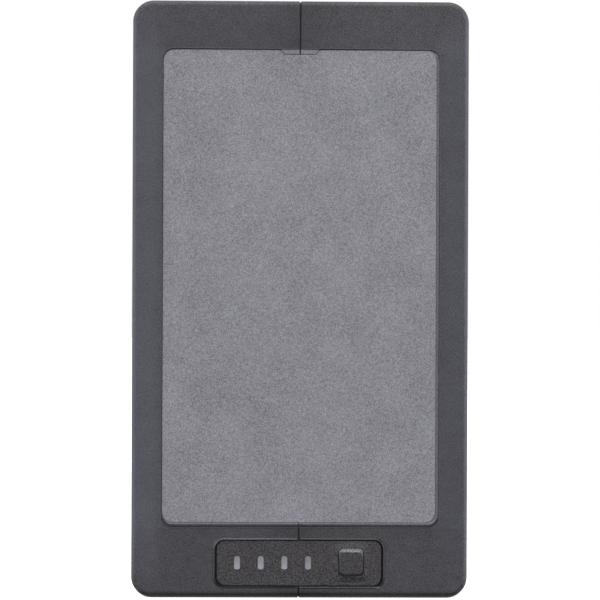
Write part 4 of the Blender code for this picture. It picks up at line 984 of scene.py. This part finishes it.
def screw_seats(side):
    """Countersinks and clearance holes for one side wall's screws, with softened mouths."""
    mesh = bmesh.new()
    head = SCREW_HEAD_RADIUS + SCREW_SEAT_GAP
    hole = SCREW_RADIUS + GAP
    depths = [
        (head + SCREW_SEAT_FLARE, -BEYOND),
        (head + SCREW_SEAT_FLARE, -SCREW_SEAT_LIP),
        (head + SCREW_SEAT_SOFTENING, SCREW_SEAT_SOFTENING_DEPTH),
        (head, SCREW_BELOW_SIDE),
        (hole, SCREW_BELOW_SIDE + SCREW_HEAD_HEIGHT),
        (hole, WALL + GAP),
    ]
    profile = [(radius, side * (SIDE - depth)) for radius, depth in depths]
    for place_yz in screw_places(side):
        turned(profile, "X", 40, place_yz, mesh)
    return mesh


def strip_sides(side, margin=0.0):
    strip = Box("wall_strip_left" if side < 0 else "wall_strip_right")
    return box_sides(strip, (0, 2), strip.size[0] / 2 + margin, 16, margin)


def strip_groove(side):
    outline_at = strip_sides(side, GAP).outline
    return flared_cutter(outline_at, REAR, REAR - WALL_STRIP_GROOVE, WALL_STRIP_LIP, "Y")


def pocket_box(side, wall=0.0):
    x = side * KEYHOLE_X
    half = POCKET_WIDTH / 2
    low = (x - half - wall, CAVITY_REAR - POCKET_DEPTH - wall, KEYHOLE_ENTRY_Z - half - wall)
    rear = REAR - OVERLAP if wall else CAVITY_REAR
    high = (x + half + wall, rear, KEYHOLE_ENTRY_Z - half + POCKET_HEIGHT + wall)
    return block(low, high)


def keyhole_cutter(side):
    def outline_at(outset):
        return keyhole_outline(side * KEYHOLE_X, outset)

    return flared_cutter(outline_at, REAR, CAVITY_REAR - OVERLAP, REAR_LIP, "Y")


def inside_ribs(side):
    """Ledges under the two lower carriers, and stiffening ribs on the rear wall."""
    meshes = []
    outer = side * (CAVITY_SIDE + OVERLAP)
    low_x, high_x = sorted((side * (CAVITY_SIDE - LEDGE_REACH), outer))
    for carrier in ("low_carrier", "mid_carrier"):
        top = Box(carrier).low[2] - GAP
        low = (low_x, CAVITY_FRONT - OVERLAP, top - LEDGE_HEIGHT)
        meshes.append(block(low, (high_x, CAVITY_REAR + OVERLAP, top)))
    ribbon_half = Box("sense_ribbon").size[0] / 2
    low_x, high_x = sorted((side * (ribbon_half + RIB_TO_RIBBON), outer))
    for z in RIB_PLACES:
        low = (low_x, CAVITY_REAR - RIB_HEIGHT, z - RIB_THICKNESS / 2)
        meshes.append(block(low, (high_x, CAVITY_REAR + OVERLAP, z + RIB_THICKNESS / 2)))
    return meshes


def seam_outline(outset):
    """The cavity's section at the parting line, grown by outset."""
    ends = (WALL, CASE_HEIGHT - WALL)
    return Sides((CAVITY_FRONT, CAVITY_REAR), ends, CAVITY_EDGE_RADIUS, 6).outline(outset)


def lip_ring():
    """The right shell's lip, a thin frame that reaches past the parting line."""
    root = SEAM_HALF_GAP + LIP
    outer = ((LIP_EDGE, 0.0), (0.0, LIP_EDGE), (0.0, LIP_REACH + root))
    rings = [(seam_outline(LIP - inset), step - LIP_REACH) for inset, step in outer]
    inner = seam_outline(LIP_INSIDE)
    return loft([*rings, (inner, root), (inner, -LIP_REACH)], "X", ring=True)


def make_shell(side, material, seat):
    """One half shell. The label's seat has its own, paler surface."""
    name = "left_shell" if side < 0 else "right_shell"
    form = case_block(SIDE, FRONT, REAR, 0.0, CASE_HEIGHT, CORNER_RADIUS, EDGE_RADIUS)
    shell = add_object(f"{name}_skin", form)
    join(shell, bead(PANEL_RECESS), bead(LABEL_RECESS))
    cut(shell, cavity_block())
    join(shell, *inside_ribs(side), pocket_box(side, POCKET_WALL))
    cut(shell, pocket_box(side))
    combine(shell, "INTERSECT", seam_limit(side))
    if side > 0:
        join(shell, lip_ring())
    else:
        cut(shell, prism(seam_outline(LIP + GAP), "X", -LIP_REACH - SEAL_WIDTH - 2 * GAP, OVERLAP))
    cut(shell, recess_cutter(LABEL_RECESS), seat_groove(), recess_cutter(PANEL_RECESS), panel_moat())
    join(shell, notch_land(side))
    cut(shell, prism(APERTURE.outline(), "Y", FRONT - BEYOND, CAVITY_FRONT + GAP))
    cut(shell, flared_cutter(SOCKET_CUT.outline, 0.0, WALL + GAP, REAR_LIP, "Z"))
    cut(shell, screw_seats(side), strip_groove(side), keyhole_cutter(side))
    settle(shell)
    finish_piece(shell, material, "casing", "shell", name)
    shell.data.materials.append(seat)
    highest, deepest = [(FRONT + depth) * MM for depth in (SEAT_HIGHEST, SEAT_DEEPEST)]
    for face in shell.data.polygons:
        if face.normal.y < -FACING_FRONT and highest < face.center.y < deepest:
            face.material_index = 1


# ---- front pieces


def label_outline():
    """The label's rounded rectangle with a shallow thumb notch in its top edge."""
    corners = LABEL_SHEET.outline()
    top = LABEL_SHEET.z[1]
    ends = []
    for side in (1, -1):
        foot, slope_x = notch_edge(side)
        mouth = (slope_x(top), top)
        beside = (mouth[0] + side * NOTCH_WIDTH, top)
        points = rounded_corner(beside, mouth, foot, NOTCH_MOUTH_ROUNDING, 3)
        ends.append(points + rounded_corner(mouth, foot, (NOTCH_X, foot[1]), NOTCH_ROUNDING, 6))
    upper_right_end = 2 * (LABEL_SHEET.steps + 1)
    return corners[:upper_right_end] + ends[0] + ends[1][::-1] + corners[upper_right_end:]


def make_label(material):
    mesh = prism(label_outline(), "Y", LABEL.low[1], LABEL.high[1])
    make_piece("label_film", mesh, material, "label", "front_label", bevel=LABEL_EDGE)


def window_sides(box, margin=0.0):
    return box_sides(box, (0, 2), WINDOW_RADIUS + margin, 5, margin - PIPE_SHOULDER)


def button_face():
    """The cap's centre (x, z), width and height, from the CAD flange's box."""
    width, height = [BUTTON.size[axis] - 2 * BUTTON_FLANGE for axis in (0, 2)]
    return BUTTON.centre[0], BUTTON.centre[2], width, height


def hole_outline(outset=0.0):
    """The panel's hole round the key, grown by outset. It is wider below the key than above."""
    x, z, width, height = button_face()
    size = (width + 2 * BUTTON_SIDE_GAP, height + BUTTON_TOP_GAP + BUTTON_BOTTOM_GAP)
    centre = (x, z + (BUTTON_TOP_GAP - BUTTON_BOTTOM_GAP) / 2)
    return even_sides(*size, BUTTON_RADIUS + BUTTON_SIDE_GAP, centre=centre).outline(outset)


def mound():
    """The low rise round the key: a slope that rolls off from the panel's face and onto its rim.

    It falls away towards the top, where the key's own slope meets it.
    """
    foot = MOUND_FOOT.outline()
    rim = hole_outline(MOUND_RIM)
    height = PANEL_FACE - PANEL.low[1]
    slope = [(part_way(foot, rim, share), PANEL_FACE - rise * height) for share, rise in MOUND_SLOPE]
    mesh = loft([(foot, PANEL_FACE + ROOT), *slope], "Y")
    face_y = PANEL_FACE * MM
    low_z, high_z = MOUND_FALL
    for vert in mesh.verts:
        above = (vert.co.z / MM - low_z) / (high_z - low_z)
        keep = 1 - (1 - MOUND_TOP_SHARE) * min(1.0, max(0.0, above))
        if vert.co.y < face_y:
            vert.co.y = face_y + (vert.co.y - face_y) * keep
    return mesh


def make_panel(material):
    """The plate with its window slots, and the mound with the key's hole."""
    through = PANEL.high[1] + BEYOND
    ends = (PANEL_FACE, PANEL.high[1], PANEL_EDGE, "Y", 3, PANEL_REAR_EDGE)
    slots = bmesh.new()
    for box in WINDOWS:
        slot = window_sides(box, WINDOW_CLEARANCE)
        flared_cutter(slot.outline, PANEL_FACE, through, HOLE_LIP, "Y", slots)
    cuts = (slots, flared_cutter(hole_outline, PANEL.low[1], through, HOLE_LIP, "Y"))
    plate = soft_block(PANEL_PLATE.outline, *ends)
    make_piece("panel_plate", plate, material, "panel", "control_panel", joins=(mound(),), cuts=cuts)


def make_light_pipes(material):
    """Frosted pipes with soft rims. Each end is hollowed a little, top to bottom, like a dish."""
    shoulder_y = PANEL.high[1] + GAP
    for i, box in enumerate(WINDOWS, 1):
        profile = [(-inset, box.low[1] + depth) for depth, inset in quarter_profile(PIPE_EDGE, 4)]
        profile += [(0.0, shoulder_y), (PIPE_SHOULDER, shoulder_y), (PIPE_SHOULDER, box.high[1])]
        sides = window_sides(box)
        sections = [(sides.outline(outset), y) for outset, y in profile]
        half = box.size[2] / 2 - PIPE_SHOULDER
        radius = (half ** 2 + DISH_DEPTH ** 2) / (2 * DISH_DEPTH)
        centre = (box.low[1] + DISH_DEPTH - radius, box.centre[2])
        dish = prism(circle(radius, 480, centre), "X", box.low[0], box.high[0])
        names = (f"frosted_pipe_{i}", loft(sections, "Y"), material, "frosted", f"light_pipe_{i}")
        make_piece(*names, cuts=(dish,))


def key_cap(side_inset, top_inset):
    """The cap's outline, drawn in at the sides and the foot, and more and rounder at the top."""
    x, z, width, height = button_face()
    size = (width - 2 * side_inset, height - side_inset - top_inset)
    centre = (x, z + (side_inset - top_inset) / 2)
    return rounded_outline(*size, BUTTON_RADIUS - side_inset + BUTTON_ROUNDER * top_inset, 10, centre)


def make_button(material):
    """The key: a planed slope along its top edge, soft sides, a flange and a post."""
    x, z, width, height = button_face()
    crown = BUTTON.low[1]
    mound_height = PANEL_FACE - PANEL.low[1]
    rise = PANEL.low[1] + mound_height * (1 - MOUND_TOP_SHARE) - BUTTON_TOP_STEP - crown
    steps = 8
    sections = [(key_cap(BUTTON_EDGE + BUTTON_CROWN_EDGE, BUTTON_RAMP + BUTTON_CROWN_EDGE), crown)]
    for i in range(1, steps + 1):
        share = i / steps
        side_inset = BUTTON_EDGE * (1 - min(1.0, 3 * share)) ** 2
        drop = rise * share ** BUTTON_RAMP_CURVE
        sections.append((key_cap(side_inset, BUTTON_RAMP * (1 - share)), crown + drop))
    flange_front = PANEL.high[1] + GAP
    flange_rear = flange_front + BUTTON_FLANGE_THICKNESS
    flange = even_sides(width, height, BUTTON_RADIUS, 10, (x, z)).outline(BUTTON_FLANGE)
    sections += [(key_cap(0.0, 0.0), flange_front), (flange, flange_front), (flange, flange_rear)]
    post = prism(circle(BUTTON_POST_RADIUS, 32, (x, z)), "Y", flange_rear - ROOT, BUTTON.high[1])
    key = ("button_key", loft(sections, "Y"), material, "panel", "test_button", "button")
    make_piece(*key, joins=(post,), soft_angle=BUTTON_SOFT_ANGLE)


# ---- sides, rear and base


def cross_recess(side, face_x, y, z):
    arm, half = CROSS_ARM, CROSS_HALF_WIDTH
    cross = [
        (arm, -half), (arm, half), (half, half), (half, arm), (-half, arm), (-half, half),
        (-arm, half), (-arm, -half), (-half, -half), (-half, -arm), (half, -arm), (half, -half),
    ]
    wide = [(y + u, z + v) for u, v in cross]
    narrow = [(y + u * CROSS_TAPER, z + v * CROSS_TAPER) for u, v in cross]
    depths = ((wide, -CROSS_ABOVE), (wide, 0.0), (narrow, CROSS_DEPTH))
    return loft([(outline, face_x - side * depth) for outline, depth in depths], "X")


def screw_profile(length):
    """(radius, depth) pairs of a screw with a soft rim round its head and a threaded shank."""
    profile = [
        (SCREW_HEAD_RADIUS - SCREW_RIM, 0.0),
        (SCREW_HEAD_RADIUS - SCREW_RIM / 4, SCREW_RIM / 3),
        (SCREW_HEAD_RADIUS, SCREW_RIM),
        (SCREW_RADIUS, SCREW_HEAD_HEIGHT),
    ]
    depth = SCREW_HEAD_HEIGHT + ROOT
    while depth < length - SCREW_TIP_LENGTH:
        profile += [(SCREW_CORE, depth), (SCREW_RADIUS, depth + SCREW_PITCH / 2)]
        depth += SCREW_PITCH
    return [*profile, (SCREW_CORE, depth), (SCREW_TIP, length)]


def make_screws(material):
    """Countersunk screws with a cross recess."""
    for node in sorted(frame["nodes"]):
        if not node.startswith("shell_screw"):
            continue
        box = Box(node)
        side = 1 if box.centre[0] > 0 else -1
        face = box.high[0] if side > 0 else box.low[0]
        y, z = box.centre[1:]
        profile = [(radius, face - side * depth) for radius, depth in screw_profile(box.size[0])]
        screw = turned(profile, "X", 40, (y, z))
        make_piece(f"{node}_detailed", screw, material, "steel", node, cuts=(cross_recess(side, face, y, z),))


def make_wall_strips(material):
    """Rubber strips with a row of fine cross grooves that grip the wall."""
    for side, node in ((-1, "wall_strip_left"), (1, "wall_strip_right")):
        box = Box(node)
        ends = (box.high[1], box.low[1], WALL_STRIP_EDGE, "Y", 4, WALL_STRIP_FRONT_EDGE)
        strip = soft_block(strip_sides(side).outline, *ends)
        grooves = bmesh.new()
        low_x, high_x = box.low[0] + GRIP_FROM_SIDE, box.high[0] - GRIP_FROM_SIDE
        for i in range(GRIPS):
            z = box.low[2] + GRIP_FROM_END + i * (box.size[2] - 2 * GRIP_FROM_END) / (GRIPS - 1)
            prism([(box.high[1] + v, z + w) for v, w in GRIP_PROFILE], "X", low_x, high_x, grooves)
        names = (f"{node}_ribbed", strip, material, "rubber", node)
        make_piece(*names, cuts=(grooves,), soft_angle=WALL_STRIP_SOFT_ANGLE)


def make_socket(material):
    """The socket's body with a soft rim and a lead-in round its mouth."""
    box = Box("power_socket")
    sides = box_sides(box, (0, 1), SOCKET_RADIUS, 8, -SOCKET_COLLAR)
    collar_low = WALL + GAP
    collar_high = collar_low + SOCKET_COLLAR_THICKNESS
    profile = [(-inset, box.low[2] + depth) for depth, inset in quarter_profile(SOCKET_EDGE, 4)]
    profile += [(0.0, collar_low), (SOCKET_COLLAR, collar_low), (SOCKET_COLLAR, collar_high)]
    profile += [(0.0, collar_high), (0.0, box.high[2])]
    body = loft([(sides.outline(outset), z) for outset, z in profile], "Z")
    slots = bmesh.new()
    for node in ("contact_minus", "contact_plus"):
        blade = Box(node)
        half_x = blade.size[0] / 2 + CONTACT_SLOT_MARGIN
        half_y = CONTACT_SLOT_MARGIN - blade.low[1]
        low = (blade.centre[0] - half_x, -half_y, MOUTH_CEILING - OVERLAP)
        block(low, (blade.centre[0] + half_x, half_y, box.high[2] + OVERLAP), slots)
    cuts = (flared_cutter(MOUTH.outline, box.low[2], MOUTH_CEILING, MOUTH_LIP, "Z"), slots)
    make_piece("socket_body", body, material, "carrier", "power_socket", cuts=cuts)


def make_contacts(material):
    """Contact blades with a tapered tip and a tail that turns to the main board."""
    for node in ("contact_minus", "contact_plus"):
        box = Box(node)
        tip = -box.low[1]
        shoulder = box.high[2] - CONTACT_TAIL
        outline = [
            (-tip, box.low[2] + CONTACT_TAPER),
            (CONTACT_TAPER - tip, box.low[2]),
            (tip - CONTACT_TAPER, box.low[2]),
            (tip, box.low[2] + CONTACT_TAPER),
            (tip, shoulder),
            (box.high[1], shoulder),
            (box.high[1], box.high[2]),
            (-tip, box.high[2]),
        ]
        blade = prism(outline, "X", box.low[0], box.high[0])
        edge = {"bevel": CONTACT_EDGE, "bevel_segments": 3}
        make_piece(f"{node}_blade", blade, material, "brass", node, **edge)


def make_foam_pads(material):
    """Soft pads between the cells and the front wall, with rounded edges."""
    for node in ("foam_pad_low", "foam_pad_high"):
        box = Box(node)
        sides = box_sides(box, (0, 2), PAD_RADIUS, 8)
        pad = soft_block(sides.outline, box.low[1], box.high[1], PAD_EDGE, "Y")
        make_piece(f"{node}_soft", pad, material, "foam", node)


# ---- inner pieces and stage


def dress_inner_nodes(materials):
    """CAD nodes whose shape is kept get the material of their slot."""
    for entry in frame["record"]["subparts"]:
        node = frame["nodes"][entry["node"]]
        node.data.materials.clear()
        node.data.materials.append(materials[entry["material_slot"]])


def make_camera():
    """Level with the middle of the case, square on but for a slight turn and roll."""
    camera = bpy.data.objects.new("camera", bpy.data.cameras.new("camera"))
    bpy.context.scene.collection.objects.link(camera)
    bpy.context.scene.camera = camera
    camera.data.sensor_width = SENSOR_WIDTH
    camera.data.lens = SENSOR_WIDTH * CAMERA_DISTANCE / VIEW_WIDTH
    camera.data.clip_start = CLIP_START
    camera.data.clip_end = CLIP_END
    angle = math.radians(CAMERA_SIDE_ANGLE)
    back = Vector((-math.sin(angle), -math.cos(angle), 0.0))
    target = Vector((CAMERA_AIM_X, FRONT + EDGE_RADIUS, MIDDLE_Z - CAMERA_BELOW_MIDDLE))
    camera.location = (target + back * CAMERA_DISTANCE) * MM
    turn = (-back).to_track_quat("-Z", "Y").to_matrix()
    camera.rotation_euler = (turn @ Matrix.Rotation(math.radians(CAMERA_ROLL), 3, "Z")).to_euler()


def make_lights():
    """Softboxes aimed at the unit's middle."""
    for name, location, size, power in SOFTBOXES:
        data = bpy.data.lights.new(name, "AREA")
        data.shape = "RECTANGLE"
        data.size, data.size_y = size
        data.energy = power
        light = bpy.data.objects.new(name, data)
        light.location = location
        aim = Vector((0.0, 0.0, MIDDLE_Z * MM)) - light.location
        light.rotation_euler = aim.to_track_quat("-Z", "Y").to_euler()
        bpy.context.scene.collection.objects.link(light)


def make_world():
    """A white studio: bright behind the unit and level with it, dark in front below and above."""
    world = bpy.data.worlds.new("studio")
    bpy.context.scene.world = world
    n = Tree(world, "Generated")
    direction = n.add("ShaderNodeSeparateXYZ", {0: n.coordinates}).outputs
    ramp = n.add("ShaderNodeValToRGB", {0: n.remap(direction["Z"], -1.0, 1.0, 0.0, 1.0)})
    stops = ramp.color_ramp.elements
    while len(stops) < len(FRONT_GLOW):
        stops.new(0.5)
    for stop, (height, strength) in zip(stops, FRONT_GLOW):
        stop.position = (height + 1) / 2
        stop.color = (strength, strength, strength, 1.0)
    seen = n.add("ShaderNodeLightPath").outputs["Is Camera Ray"]
    white = n.math("MAXIMUM", seen, n.remap(direction["Y"], *BEHIND_UNIT))
    background = n.tree.nodes["Background"]
    n.feed(background.inputs["Color"], n.mix(white, ramp.outputs[0], WHITE))


def make_floor():
    mesh = bmesh.new()
    bmesh.ops.create_grid(mesh, x_segments=2, y_segments=2, size=FLOOR_HALF_SIZE)
    floor = add_object("floor", mesh)
    n = Nodes("pale_floor")
    tint = n.spread(n.noise(40.0), 0.97, 1.0)
    n.set(colour=n.scaled(FLOOR_COLOUR, tint), roughness=0.8)
    n.set(emission_color=WHITE, emission_strength=FLOOR_GLOW)
    floor.data.materials.append(n.material)
    floor.visible_diffuse = False
    floor.visible_glossy = False


materials = make_materials()
dress_inner_nodes(materials)
for shell_side in (-1, 1):
    make_shell(shell_side, materials["shell"], materials["seat"])
make_label(materials["label"])
make_panel(materials["panel"])
make_light_pipes(materials["frosted"])
make_button(materials["key"])
make_screws(materials["steel"])
make_wall_strips(materials["rubber"])
make_socket(materials["carrier"])
make_contacts(materials["brass"])
make_foam_pads(materials["foam"])
make_camera()
make_world()
make_lights()
make_floor()
bpy.context.scene.view_settings.view_transform = "Standard"
